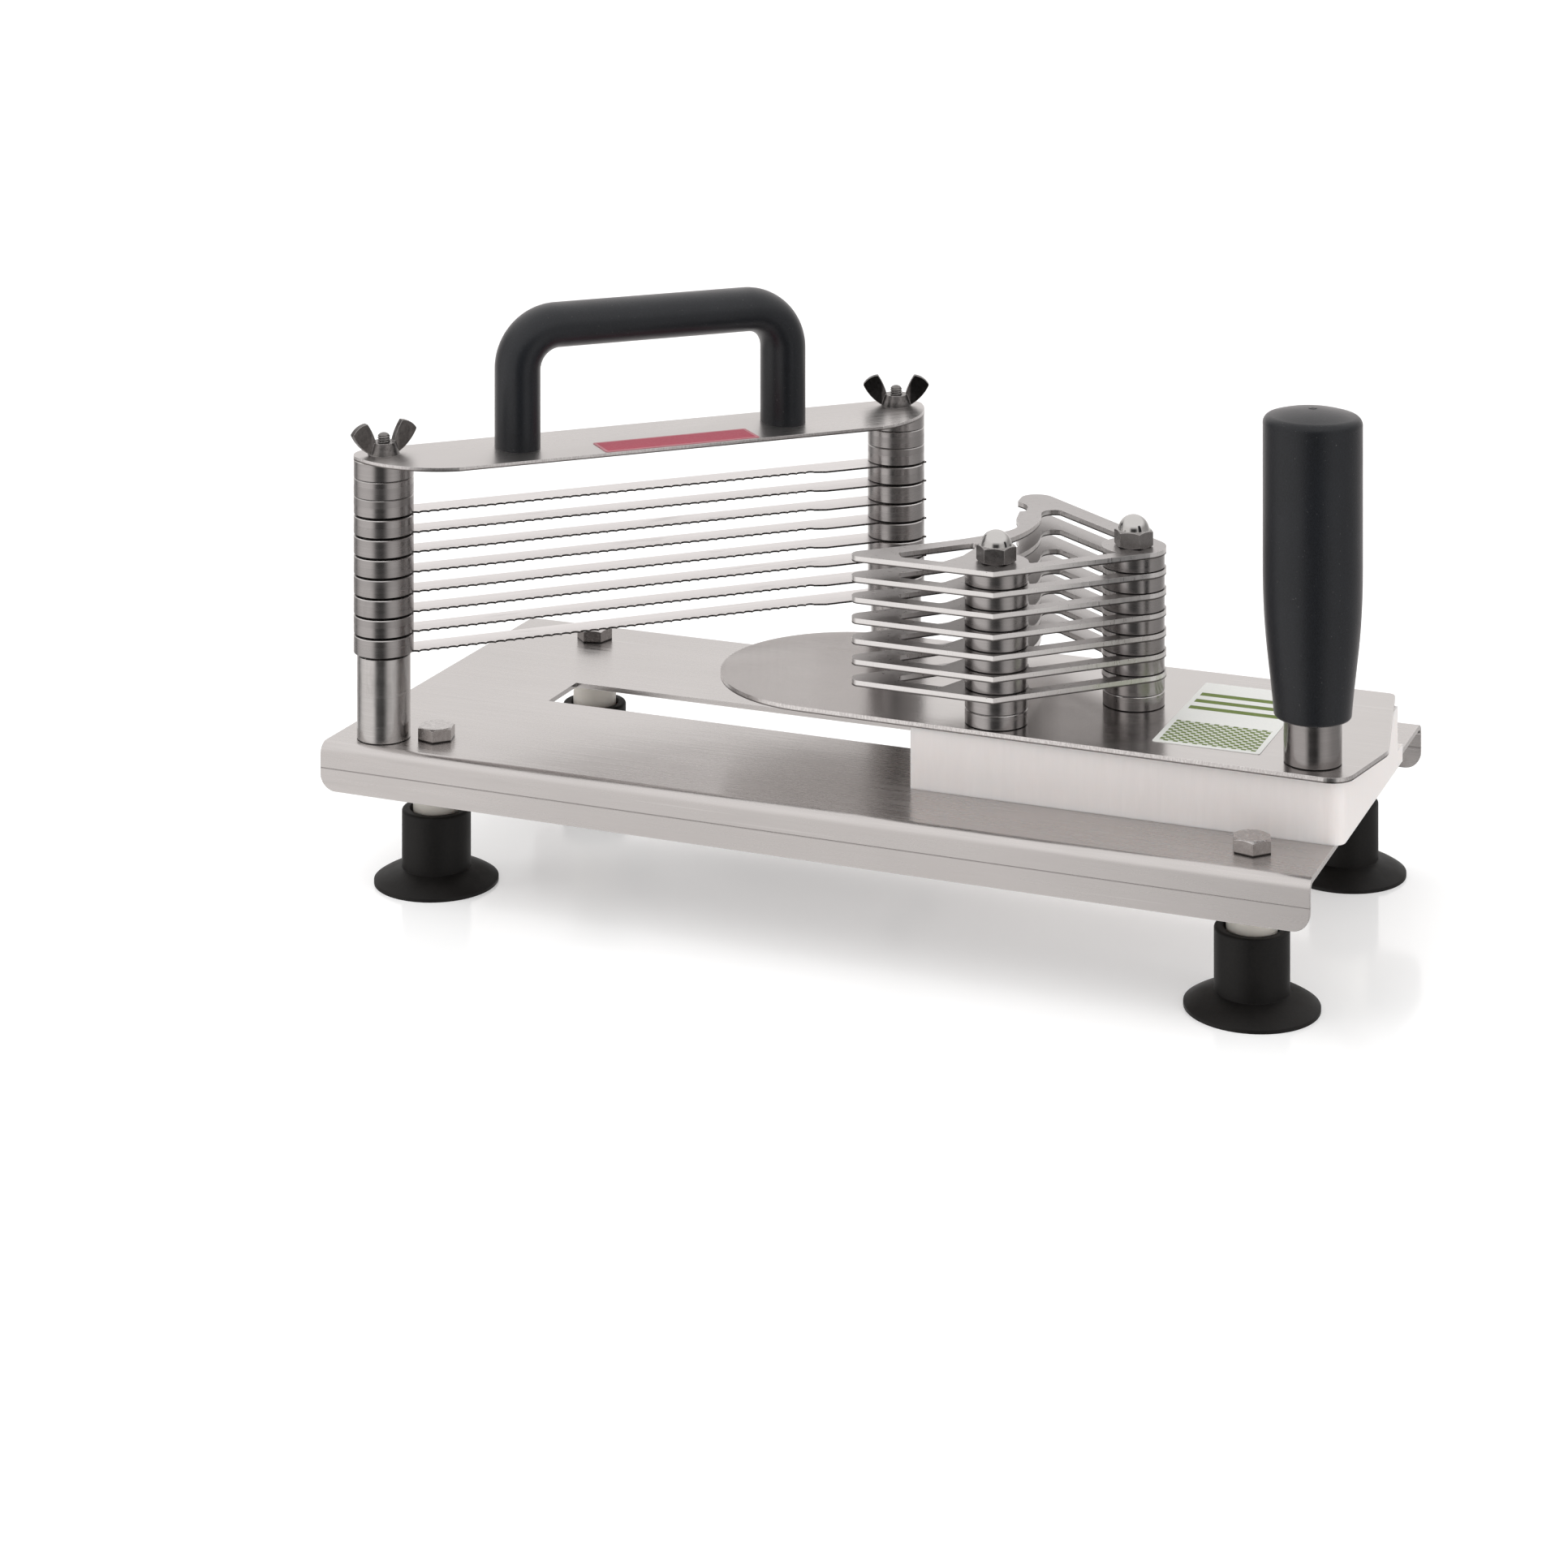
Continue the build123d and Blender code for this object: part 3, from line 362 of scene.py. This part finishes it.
def finger_steel(name, low):
    """Laser-cut plate: satin faces painted darker as shade, upright edges painted near white as a highlight
    with fine cut lines, and a painted shade band below.
    """
    look = Look(name)
    satin = look.noise((500, 500, 500), detail=4.0, roughness=0.6)
    cloud = look.noise((30, 30, 30), detail=3.0, shift=4.0)
    cut = look.noise((1700, 1700, 260), detail=2.0, shift=1.0)
    speck = look.spread(look.noise((420, 420, 900), detail=2.0, shift=9.0), 0.76, 0.80)
    # Painted light: the faces are darker as shade and the upright edges near white as a highlight.
    face = look.blend(look.spread(satin, 0.3, 0.7), (0.38, 0.362, 0.357), (0.47, 0.45, 0.445))
    face = look.blend(look.spread(cloud, 0.4, 0.7, 0.0, 0.25), face, (0.33, 0.315, 0.31))
    side = look.blend(look.spread(cut, 0.3, 0.7), (0.82, 0.80, 0.79), (0.89, 0.87, 0.86))
    side = look.blend(look.math("MULTIPLY", speck, 0.6), side, DARK_STEEL)
    height = look.split(look.place)[2]
    # Painted shade: a dark band along the lower rim of the upright edges.
    side = look.blend(look.spread(height, low + 0.25 * MM, low + 0.50 * MM), PAINTED_RIM_SHADE, side)
    up = look.facing_up()
    colour = look.blend(up, side, face)
    # Painted highlight, partly wear, along the edges of the faces.
    rim = look.math("MULTIPLY", look.edges(0.30 * MM), up)
    look.set("Base Color", look.blend(look.math("MULTIPLY", rim, 0.6), colour, BRIGHT_STEEL))
    look.set("Metallic", 1.0)
    flat_rough = look.spread(satin, 0.3, 0.7, 0.26, 0.36)
    cut_rough = look.spread(cut, 0.3, 0.7, 0.26, 0.36)
    wide = look.math("SUBTRACT", flat_rough, cut_rough)
    look.set("Roughness", look.math("ADD", cut_rough, look.math("MULTIPLY", wide, up)))
    look.set("Normal", look.bump(look.math("ADD", satin, cut), 0.004 * MM, look.soft_edges(0.12 * MM)))
    return look.material


ONE_PIECE = 1.0


def turned_steel(name, axis, tone, roughness, ring_height):
    """Turned bar: fine tool marks round the axis, a change of tone from ring to ring, painted shade on the
    downward faces and a painted highlight on the upward ones.

    A ring height of ONE_PIECE is taller than the part, so that no ring differs.
    """
    look = Look(name)
    x, y, z, radius = look.from_axis(axis)
    angle = look.math("MULTIPLY", look.math("ARCTAN2", y, x), 0.2 * MM)
    section = look.join(radius, angle, z)
    marks = look.noise((5200, 1500, 5200), section, detail=3.0, roughness=0.7)
    bands = look.noise((700, 400, 700), section, detail=2.0, shift=3.0)
    stain = look.noise((160, 160, 60), detail=4.0, roughness=0.6, shift=6.0)
    step = look.math("FLOOR", look.math("DIVIDE", z, ring_height))
    ring = look.node("ShaderNodeTexWhiteNoise", {"W": step}, noise_dimensions="1D").outputs[0]
    colour = look.blend(look.spread(marks, 0.3, 0.7), shade(0.88, tone), tone)
    colour = look.blend(look.spread(ring, 0.0, 1.0, 0.0, 0.22), colour, shade(0.6, tone))
    colour = look.blend(look.spread(stain, 0.58, 0.74, 0.0, 0.4), colour, shade(0.5, tone))
    # Painted light: downward faces are painted dark as shade, upward faces bright as a highlight.
    tilt = look.split(look.normal)[2]
    under = look.spread(tilt, -0.25, -0.55)
    over = look.spread(tilt, 0.25, 0.55)
    colour = look.blend(look.math("MULTIPLY", under, 0.92), colour, PAINTED_SHADE_BLACK)
    look.set("Base Color", look.blend(look.math("MULTIPLY", over, 0.45), colour, BRIGHT_STEEL))
    look.set("Metallic", 1.0)
    rough = look.math("ADD", look.spread(bands, 0.3, 0.7, -0.04, 0.05), roughness)
    look.set("Roughness", look.math("ADD", rough, look.spread(ring, 0.0, 1.0, -0.03, 0.03)))
    look.set("Normal", look.bump(look.math("ADD", marks, bands), 0.004 * MM, look.soft_edges(0.08 * MM)))
    return look.material


def hardware_steel(name, tone, roughness):
    """Stainless screws and nuts: fine grain, faint stains and corners painted bright, partly wear and partly
    a painted highlight.
    """
    look = Look(name)
    grain = look.noise((900, 900, 900), detail=5.0, roughness=0.6)
    stain = look.noise((240, 240, 240), detail=3.0, shift=5.0)
    edge = look.edges(0.25 * MM)
    colour = look.blend(look.spread(grain, 0.3, 0.7), shade(0.85, tone), tone)
    colour = look.blend(look.spread(stain, 0.5, 0.7, 0.0, 0.35), colour, shade(0.55, tone))
    # Painted highlight, partly wear: the corners are blended towards bright steel.
    look.set("Base Color", look.blend(look.math("MULTIPLY", edge, 0.8), colour, BRIGHT_STEEL))
    look.set("Metallic", 1.0)
    look.set("Roughness", look.math("ADD", look.spread(grain, 0.3, 0.7, -0.04, 0.07), roughness))
    look.set("Normal", look.bump(grain, 0.003 * MM, look.soft_edges(0.12 * MM)))
    return look.material


def bolt_steel(deck):
    """Bolt heads: grey flats under a top face painted lighter, corners painted bright as a highlight with
    some wear, and painted shade at the foot where they meet the deck.
    """
    look = Look("bolt_steel")
    grain = look.noise((900, 900, 900), detail=4.0, roughness=0.6)
    height = look.split(look.place)[2]
    edge = look.edges(0.22 * MM, 0.05, 0.30)
    flats = look.blend(look.spread(grain, 0.3, 0.7), (0.36, 0.335, 0.325), (0.46, 0.435, 0.425))
    crown = look.blend(look.spread(grain, 0.3, 0.7), (0.40, 0.38, 0.375), (0.62, 0.60, 0.59))
    # Painted light: the top face is lighter than the flats.
    colour = look.blend(look.facing_up(), flats, crown)
    # Painted highlight, partly wear, on the corners.
    colour = look.blend(edge, colour, (0.86, 0.84, 0.83))
    # Painted shade at the foot of the head, where it meets the deck.
    colour = look.blend(look.spread(height, deck + 0.30 * MM, deck + 0.62 * MM), PAINTED_SHADE_BLACK, colour)
    look.set("Base Color", colour)
    look.set("Metallic", 1.0)
    look.set("Roughness", look.spread(grain, 0.3, 0.7, 0.20, 0.30))
    look.set("Normal", look.bump(grain, 0.003 * MM, look.soft_edges(0.10 * MM)))
    return look.material


def acorn_steel(hex_top):
    """Polished dome on a plainer hexagon."""
    look = Look("acorn_steel")
    height = look.split(look.place)[2]
    dome = look.spread(height, hex_top - 0.1 * MM, hex_top + 0.1 * MM)
    haze = look.noise((700, 700, 700), detail=4.0, roughness=0.6)
    edge = look.math("MULTIPLY", look.edges(0.35 * MM), 0.8)
    flats = look.blend(haze, (0.20, 0.19, 0.185), (0.30, 0.285, 0.28))
    # Painted highlight, partly wear, on the hexagon's edges.
    flats = look.blend(edge, flats, BRIGHT_STEEL)
    look.set("Base Color", look.blend(dome, flats, (0.52, 0.51, 0.50)))
    look.set("Metallic", 1.0)
    smooth = look.spread(haze, 0.3, 0.7, 0.06, 0.11)
    plain = look.spread(haze, 0.3, 0.7, 0.24, 0.34)
    gap = look.math("SUBTRACT", smooth, plain)
    look.set("Roughness", look.math("ADD", plain, look.math("MULTIPLY", gap, dome)))
    look.set("Normal", look.bump(haze, 0.006 * MM, look.soft_edges(0.2 * MM)))
    return look.material


def wing_nut_steel(name, axis, tone):
    """Grey turned hub and wings painted dark as a painted reflection, with edges painted bright, partly wear
    and partly a painted highlight.
    """
    look = Look(name)
    radius = look.from_axis(axis)[3]
    wing = look.spread(radius, WING_NUT_HUB_RADIUS - 0.5 * MM, WING_NUT_HUB_RADIUS + 0.1 * MM)
    grain = look.noise((1100, 1100, 1100), detail=5.0, roughness=0.65)
    patch = look.noise((260, 260, 260), detail=3.0, shift=2.0)
    edge = look.edges(0.45 * MM, 0.02, 0.2)
    # Painted reflection: the wings take the dark tone passed in.
    dark = look.blend(look.spread(grain, 0.3, 0.7), shade(0.6, tone), tone)
    dark = look.blend(look.spread(patch, 0.5, 0.7, 0.0, 0.35), dark, shade(2.0, tone))
    hub = look.blend(look.spread(grain, 0.3, 0.7), (0.15, 0.14, 0.135), (0.28, 0.265, 0.26))
    colour = look.blend(wing, hub, dark)
    # Painted highlight, partly wear, on the edges.
    look.set("Base Color", look.blend(look.math("MULTIPLY", edge, 0.75), colour, (0.62, 0.60, 0.59)))
    look.set("Metallic", 1.0)
    look.set("Roughness", look.spread(grain, 0.3, 0.7, 0.26, 0.38))
    look.set("Normal", look.bump(grain, 0.012 * MM, look.soft_edges(0.25 * MM)))
    return look.material


# ---- plastics, rubber and labels ----
def black_plastic():
    """Moulded plastic with a fine spark-eroded grain and slightly polished high spots."""
    look = Look("handle_plastic")
    grain = look.noise((2300, 2300, 2300), detail=3.0, roughness=0.55)
    rub = look.noise((60, 60, 35), detail=4.0, roughness=0.6, shift=8.0)
    dust = look.spread(look.noise((1500, 1500, 1500), detail=1.0, shift=4.4), 0.74, 0.78)
    fine = look.spread(grain, 0.35, 0.65)
    colour = look.blend(fine, shade(0.8, BLACK_PLASTIC), shade(1.25, BLACK_PLASTIC))
    colour = look.blend(look.spread(rub, 0.5, 0.75, 0.0, 0.3), colour, shade(1.8, BLACK_PLASTIC))
    look.set("Base Color", look.blend(look.math("MULTIPLY", dust, 0.2), colour, (0.22, 0.21, 0.2)))
    look.set("Roughness", look.spread(rub, 0.35, 0.7, 0.41, 0.31))
    look.set("Specular IOR Level", 0.36)
    look.set("Sheen Weight", 0.16)
    look.set("Sheen Roughness", 0.35)
    look.set("Sheen Tint", (1.0, 0.90, 0.90))
    look.set("Normal", look.bump(grain, 0.035 * MM, look.soft_edges(0.3 * MM)))
    return look.material


def foot_rubber():
    """Soft rubber with a matt, slightly powdery surface."""
    look = Look("foot_rubber")
    grain = look.noise((1500, 1500, 1500), detail=4.0, roughness=0.6)
    bloom = look.noise((90, 90, 60), detail=4.0, roughness=0.6, shift=3.0)
    colour = look.blend(look.spread(grain, 0.35, 0.65), shade(0.8, RUBBER), shade(1.3, RUBBER))
    powder = look.spread(bloom, 0.45, 0.75, 0.0, 0.3)
    look.set("Base Color", look.blend(powder, colour, (0.022, 0.019, 0.017)))
    look.set("Roughness", look.spread(bloom, 0.3, 0.7, 0.48, 0.64))
    look.set("Specular IOR Level", 0.28)
    look.set("Normal", look.bump(grain, 0.03 * MM, look.soft_edges(0.3 * MM)))
    return look.material


def white_plastic(name, tone, grain_scale):
    """Machined white plastic: a little light passes through it, and cutter lines show faintly."""
    look = Look(name)
    cutter = look.noise(grain_scale, detail=3.0, roughness=0.6)
    cloud = look.noise((25, 25, 25), detail=3.0, shift=2.0)
    colour = look.blend(look.spread(cutter, 0.3, 0.7), shade(0.96, tone), tone)
    colour = look.blend(look.spread(cloud, 0.4, 0.7, 0.0, 0.3), colour, shade(0.93, tone))
    look.set("Base Color", colour)
    look.set("Subsurface Weight", 0.35)
    look.set("Subsurface Radius", (1.0, 0.8, 0.7))
    look.set("Subsurface Scale", 4.0 * MM)
    look.set("Roughness", look.spread(cutter, 0.3, 0.7, 0.34, 0.46))
    look.set("Normal", look.bump(cutter, 0.02 * MM, look.soft_edges(0.5 * MM)))
    return look.material


def paper_grain(look, tone):
    """Give the look a dull printed surface, and return the tone with its fibres in it."""
    fibre = look.noise((1300, 1300, 1300), detail=4.0, roughness=0.6)
    look.set("Roughness", look.spread(fibre, 0.3, 0.7, 0.40, 0.52))
    look.set("Specular IOR Level", 0.12)
    look.set("Normal", look.bump(fibre, 0.01 * MM))
    return look.blend(look.spread(fibre, 0.3, 0.7, 0.0, 0.5), tone, shade(0.94, tone))


RED_PANEL_LENGTH = 47.9 * MM
RED_PANEL_WIDTH = 10.4 * MM
GREEN_PANEL_WIDTH = 27.8 * MM
CHECK_SIZE = 1.4 * MM
STRIPE_COUNT = 9.0


def red_label():
    """Plain red sticker with a paler printed border."""
    look = Look("red_label")
    from_middle = look.vector("SUBTRACT", look.turned(POST_ANGLE), post_line(centre("frame_label")))
    x, y, _ = look.split(from_middle)
    off_side = look.math("SUBTRACT", look.math("ABSOLUTE", y), RED_PANEL_WIDTH / 2)
    off_end = look.math("SUBTRACT", look.math("ABSOLUTE", x), RED_PANEL_LENGTH / 2)
    border = look.spread(look.math("MAXIMUM", off_side, off_end), 0.0, 0.1 * MM)
    red = paper_grain(look, LABEL_RED)
    look.set("Base Color", look.blend(look.math("MULTIPLY", border, 0.35), red, (0.75, 0.55, 0.56)))
    return look.material


def green_label():
    """White sticker with a finely checked green band at the front and green stripes behind it."""
    look = Look("green_white_label")
    low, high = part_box("sled_label")
    place_x, place_y, _ = look.split(look.place)
    share = look.math("DIVIDE", look.math("SUBTRACT", place_y, low.y), high.y - low.y)
    checks = look.node("ShaderNodeTexChecker", {"Vector": look.place, "Scale": 1 / CHECK_SIZE}).outputs["Fac"]
    in_front = look.spread(share, 0.36, 0.362, 1.0, 0.0)
    band = look.math("MULTIPLY", in_front, look.spread(checks, 0.0, 1.0, 0.25, 1.0))
    wave = look.math("SINE", look.math("MULTIPLY", share, 2 * pi * STRIPE_COUNT))
    stripes = look.math("MULTIPLY", look.spread(wave, 0.1, 0.16), look.spread(share, 0.52, 0.522))
    stripes = look.math("MULTIPLY", stripes, look.spread(share, 0.86, 0.862, 1.0, 0.0))
    green = look.math("MAXIMUM", band, stripes)
    off_middle = look.math("ABSOLUTE", look.math("SUBTRACT", place_x, (low.x + high.x) / 2))
    inside_x = look.spread(off_middle, GREEN_PANEL_WIDTH / 2, GREEN_PANEL_WIDTH / 2 + 0.1 * MM, 1.0, 0.0)
    inside_y = look.spread(look.math("ABSOLUTE", look.math("SUBTRACT", share, 0.5)), 0.47, 0.472, 1.0, 0.0)
    inside = look.math("MULTIPLY", inside_x, inside_y)
    white = paper_grain(look, LABEL_WHITE)
    look.set("Base Color", look.blend(look.math("MULTIPLY", green, inside), white, LABEL_GREEN))
    return look.material


# ---- giving the CAD nodes their looks ----
def paint(prefix, material):
    """Give every CAD node whose name starts with prefix this material."""
    found = [node for name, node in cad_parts.items() if name.startswith(prefix)]
    if not found:
        raise ValueError(f"no CAD node starts with {prefix}")
    for node in found:
        for index in range(len(node.material_slots)):
            node.material_slots[index].link = "OBJECT"
            node.material_slots[index].material = material


def paint_steel():
    """Paint every metal node. Returns the rods' steel, which the threaded rods share."""
    paint("base_plate", base_sheet())
    sled_low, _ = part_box("sled_plate")
    top_low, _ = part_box("top_plate")
    sled = brushed_sheet("sled_sheet_steel", 0.0, 0.21, 0.35, edge_bottom=sled_low.z)
    top = brushed_sheet("top_sheet_steel", POST_ANGLE, 0.31, 0.3, edge_bottom=top_low.z)
    paint("sled_plate", sled.material)
    paint("top_plate", top.material)
    paint("blade_", blade_steel(post_line(centre("tie_rod_front"))))
    for number in range(1, FINGER_COUNT + 1):
        low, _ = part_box(f"pusher_finger_{number}")
        paint(f"pusher_finger_{number}", finger_steel(f"finger_steel_{number}", low.z))
    for side in ("front", "rear"):
        rod = centre(f"tie_rod_{side}")
        post = centre(f"finger_rod_{side}")
        column = turned_steel(f"column_steel_{side}", rod, COLUMN_STEEL, 0.22, ONE_PIECE)
        blade_rings = turned_steel(f"ring_steel_{side}", rod, DULL_STEEL, 0.26, RING_PITCH)
        finger_rings = turned_steel(f"finger_ring_steel_{side}", post, DULL_STEEL, 0.24, RING_PITCH)
        paint(f"post_column_{side}", column)
        paint(f"blade_spacers_{side}", blade_rings)
        paint(f"finger_spacers_{side}", finger_rings)
        paint(f"finger_rod_{side}", hardware_steel(f"finger_rod_steel_{side}", STEEL, 0.3))
    ferrule = turned_steel("ferrule_steel", centre("grip_ferrule"), FERRULE_STEEL, 0.2, ONE_PIECE)
    paint("grip_ferrule", ferrule)
    paint("wing_nut_front", wing_nut_steel("wing_steel_front", centre("tie_rod_front"), FRONT_WING_PAINTED_DARK))
    paint("wing_nut_rear", wing_nut_steel("wing_steel_rear", centre("tie_rod_rear"), REAR_WING_PAINTED_DARK))
    low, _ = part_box("acorn_nuts")
    paint("acorn_nuts", acorn_steel(low.z + ACORN_HEX_HEIGHT))
    _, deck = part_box("base_plate")
    paint("foot_bolts", bolt_steel(deck.z))
    bright = hardware_steel("hardware_steel", NUT_STEEL, 0.24)
    for prefix in ("foot_nuts", "carry_handle_screws", "keeper_screws", "finger_rod_nuts", "grip_spindle"):
        paint(prefix, bright)
    rod_steel = hardware_steel("rod_steel", ROD_STEEL, 0.3)
    paint("tie_rod", rod_steel)
    return rod_steel


def paint_soft_parts():
    """Paint the plastic, rubber and label nodes. Returns the plastic, which the grip's pip shares."""
    paint("suction_foot", foot_rubber())
    paint("foot_spacers", white_plastic("white_nylon", NYLON, (300, 300, 1500)))
    block = white_plastic("white_polyethylene", POLYETHYLENE, (700, 700, 90))
    paint("sled_block", block)
    paint("sled_keeper", block)
    plastic = black_plastic()
    paint("carry_handle", plastic)
    paint("push_grip", plastic)
    paint("frame_label", red_label())
    paint("sled_label", green_label())
    return plastic


# ---- detail pieces ----
THREAD_PITCH = 0.7 * MM
THREAD_DEPTH = 0.32 * MM
THREAD_FLANK_SLOPE = 1.4
THREAD_ROWS_PER_TURN = 10
THREAD_SIDES = 32
TIP_ROUND = 1.5 * MM
TIP_FLAT = 0.02 * MM
THREAD_BELOW_TIP = 12.0 * MM


def threaded_rod(side, steel):
    """Tie rod whose upper end carries a real M4 thread under a domed tip."""
    node = f"tie_rod_{side}"
    low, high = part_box(node)
    axis = (low + high) / 2
    radius = (high.x - low.x) / 2
    thread_start = high.z - THREAD_BELOW_TIP
    count = int(THREAD_BELOW_TIP / THREAD_PITCH * THREAD_ROWS_PER_TURN)
    heights = [low.z, thread_start]
    heights += [thread_start + THREAD_BELOW_TIP * (row + 1) / count for row in range(count)]

    def radius_at(z, angle):
        if z <= thread_start:
            return radius
        turn = (z / THREAD_PITCH - angle / (2 * pi)) % 1.0
        ridge = abs(2 * turn - 1)
        threaded = radius - THREAD_DEPTH * min(1.0, THREAD_FLANK_SLOPE * ridge)
        from_tip = high.z - z
        if from_tip >= TIP_ROUND:
            return threaded
        dome = radius * sqrt(max(0.0, 1 - (1 - from_tip / TIP_ROUND) ** 2))
        return max(TIP_FLAT, min(threaded, dome))

    rows = [(z, partial(radius_at, z)) for z in heights]
    rod = lathe(f"threaded_rod_{side}", axis, rows, THREAD_SIDES)
    rod.data.materials.append(steel)
    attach(rod, "base")
    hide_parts(node)


PIP_BELOW_TOP = 0.15
PIP_PROFILE = ((0.0, 1.25), (0.12, 1.25), (0.24, 1.1), (0.27, 0.55), (0.19, 0.4), (0.19, 0.05))
PIP_SIDES = 24


def grip_crown_pip(plastic):
    """Small moulding pip left in the middle of the grip's crown, from heights and radii in millimetres."""
    low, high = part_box("push_grip")
    base = high.z - PIP_BELOW_TOP * MM
    rows = [(base + height * MM, lambda angle, radius=radius * MM: radius) for height, radius in PIP_PROFILE]
    pip = lathe("grip_crown_pip", (low + high) / 2, rows, PIP_SIDES)
    pip.data.materials.append(plastic)
    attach(pip, "grip")


# ---- stage ----
FLOOR_HALF = 20.0
FLOOR_GLOW = 0.28
WORLD_LIGHT = 0.85
WHITE = (1.0, 1.0, 1.0, 1.0)
LIGHTS_AIM = Vector((0.0, 0.0, 0.06))


def white_floor():
    """Pale glossy table that runs out of sight. Reflections see the studio panels in it."""
    corners = [(-FLOOR_HALF, -FLOOR_HALF, 0.0), (FLOOR_HALF, -FLOOR_HALF, 0.0),
               (FLOOR_HALF, FLOOR_HALF, 0.0), (-FLOOR_HALF, FLOOR_HALF, 0.0)]
    floor = mesh_object("floor", corners, [(0, 1, 2, 3)], smooth=False)
    look = Look("floor_white")
    haze = look.noise((3, 3, 3), detail=2.0)
    look.set("Base Color", look.blend(haze, (0.90, 0.90, 0.90), (0.92, 0.92, 0.92)))
    look.set("Roughness", look.spread(haze, 0.3, 0.7, 0.10, 0.13))
    look.set("Specular IOR Level", 0.35)
    look.set("Emission Color", WHITE[:3])
    look.set("Emission Strength", FLOOR_GLOW)
    incoming = look.node("ShaderNodeNewGeometry").outputs["Incoming"]
    onward = look.vector("SUBTRACT", (0.0, 0.0, 0.0), incoming)
    panels = look.node("ShaderNodeEmission", {"Color": look.panels(onward), "Strength": 1.0}).outputs[0]
    glossy = look.node("ShaderNodeLightPath").outputs["Is Glossy Ray"]
    mixed = look.node("ShaderNodeMixShader", {0: glossy, 1: look.shader.outputs[0], 2: panels}).outputs[0]
    look.tree.links.new(mixed, look.tree.nodes["Material Output"].inputs["Surface"])
    floor.data.materials.append(look.material)


def studio_world():
    """White room for the camera and for soft light; reflections see the studio panels."""
    world = bpy.data.worlds.new("studio")
    world.use_nodes = True
    bpy.context.scene.world = world
    graph = Graph(world.node_tree)
    graph.tree.nodes.clear()
    seen = graph.panels(graph.node("ShaderNodeTexCoord").outputs["Generated"])
    panels = graph.node("ShaderNodeBackground", {"Color": seen, "Strength": 1.0}).outputs[0]
    soft_light = graph.node("ShaderNodeBackground", {"Color": WHITE, "Strength": WORLD_LIGHT}).outputs[0]
    white = graph.node("ShaderNodeBackground", {"Color": WHITE, "Strength": 1.0}).outputs[0]
    path = graph.node("ShaderNodeLightPath").outputs
    first = graph.node("ShaderNodeMixShader", {0: path["Is Glossy Ray"], 1: soft_light, 2: panels}).outputs[0]
    final = graph.node("ShaderNodeMixShader", {0: path["Is Camera Ray"], 1: first, 2: white}).outputs[0]
    graph.node("ShaderNodeOutputWorld", {"Surface": final})


def softbox(name, place, size, energy):
    """Area light aimed at the object, lighting it without showing in its reflections."""
    data = bpy.data.lights.new(name, "AREA")
    data.shape = "RECTANGLE"
    data.size, data.size_y = size
    data.energy = energy
    light = bpy.data.objects.new(name, data)
    light.location = place
    light.rotation_euler = (LIGHTS_AIM - Vector(place)).to_track_quat("-Z", "Y").to_euler()
    light.visible_glossy = False
    bpy.context.scene.collection.objects.link(light)


def lights():
    softbox("softbox_top", (-0.35, 0.15, 1.15), (1.1, 0.8), 3.2)
    softbox("softbox_left", (-1.1, -0.7, 0.65), (0.35, 0.9), 2.6)
    softbox("softbox_right", (1.15, -0.25, 0.6), (0.3, 0.8), 1.4)


def camera():
    """Level view camera whose lens is shifted down, so that upright edges stay upright.

    The shift belongs to this one place: a driver takes it away when the camera is moved elsewhere.
    """
    data = bpy.data.cameras.new("camera")
    data.sensor_width = SENSOR_WIDTH
    data.lens = CAMERA_LENS
    data.clip_start, data.clip_end = 0.01, 50.0
    made = bpy.data.objects.new("camera", data)
    made.location = CAMERA_PLACE
    made.rotation_euler = (pi / 2, 0.0, CAMERA_TURN)
    bpy.context.scene.collection.objects.link(made)
    bpy.context.scene.camera = made
    driver = data.driver_add("shift_y").driver
    place = driver.variables.new()
    place.name = "place"
    place.type = "TRANSFORMS"
    place.targets[0].id = made
    place.targets[0].transform_type = "LOC_X"
    place.targets[0].transform_space = "WORLD_SPACE"
    driver.type = "SCRIPTED"
    driver.expression = f"{CAMERA_SHIFT} if abs(place - {CAMERA_PLACE[0]}) < {SAME_PLACE} else 0"


rod_steel = paint_steel()
plastic = paint_soft_parts()
for rod_side in ("front", "rear"):
    threaded_rod(rod_side, rod_steel)
grip_crown_pip(plastic)
white_floor()
studio_world()
lights()
camera()
bpy.context.scene.view_settings.view_transform = "Standard"
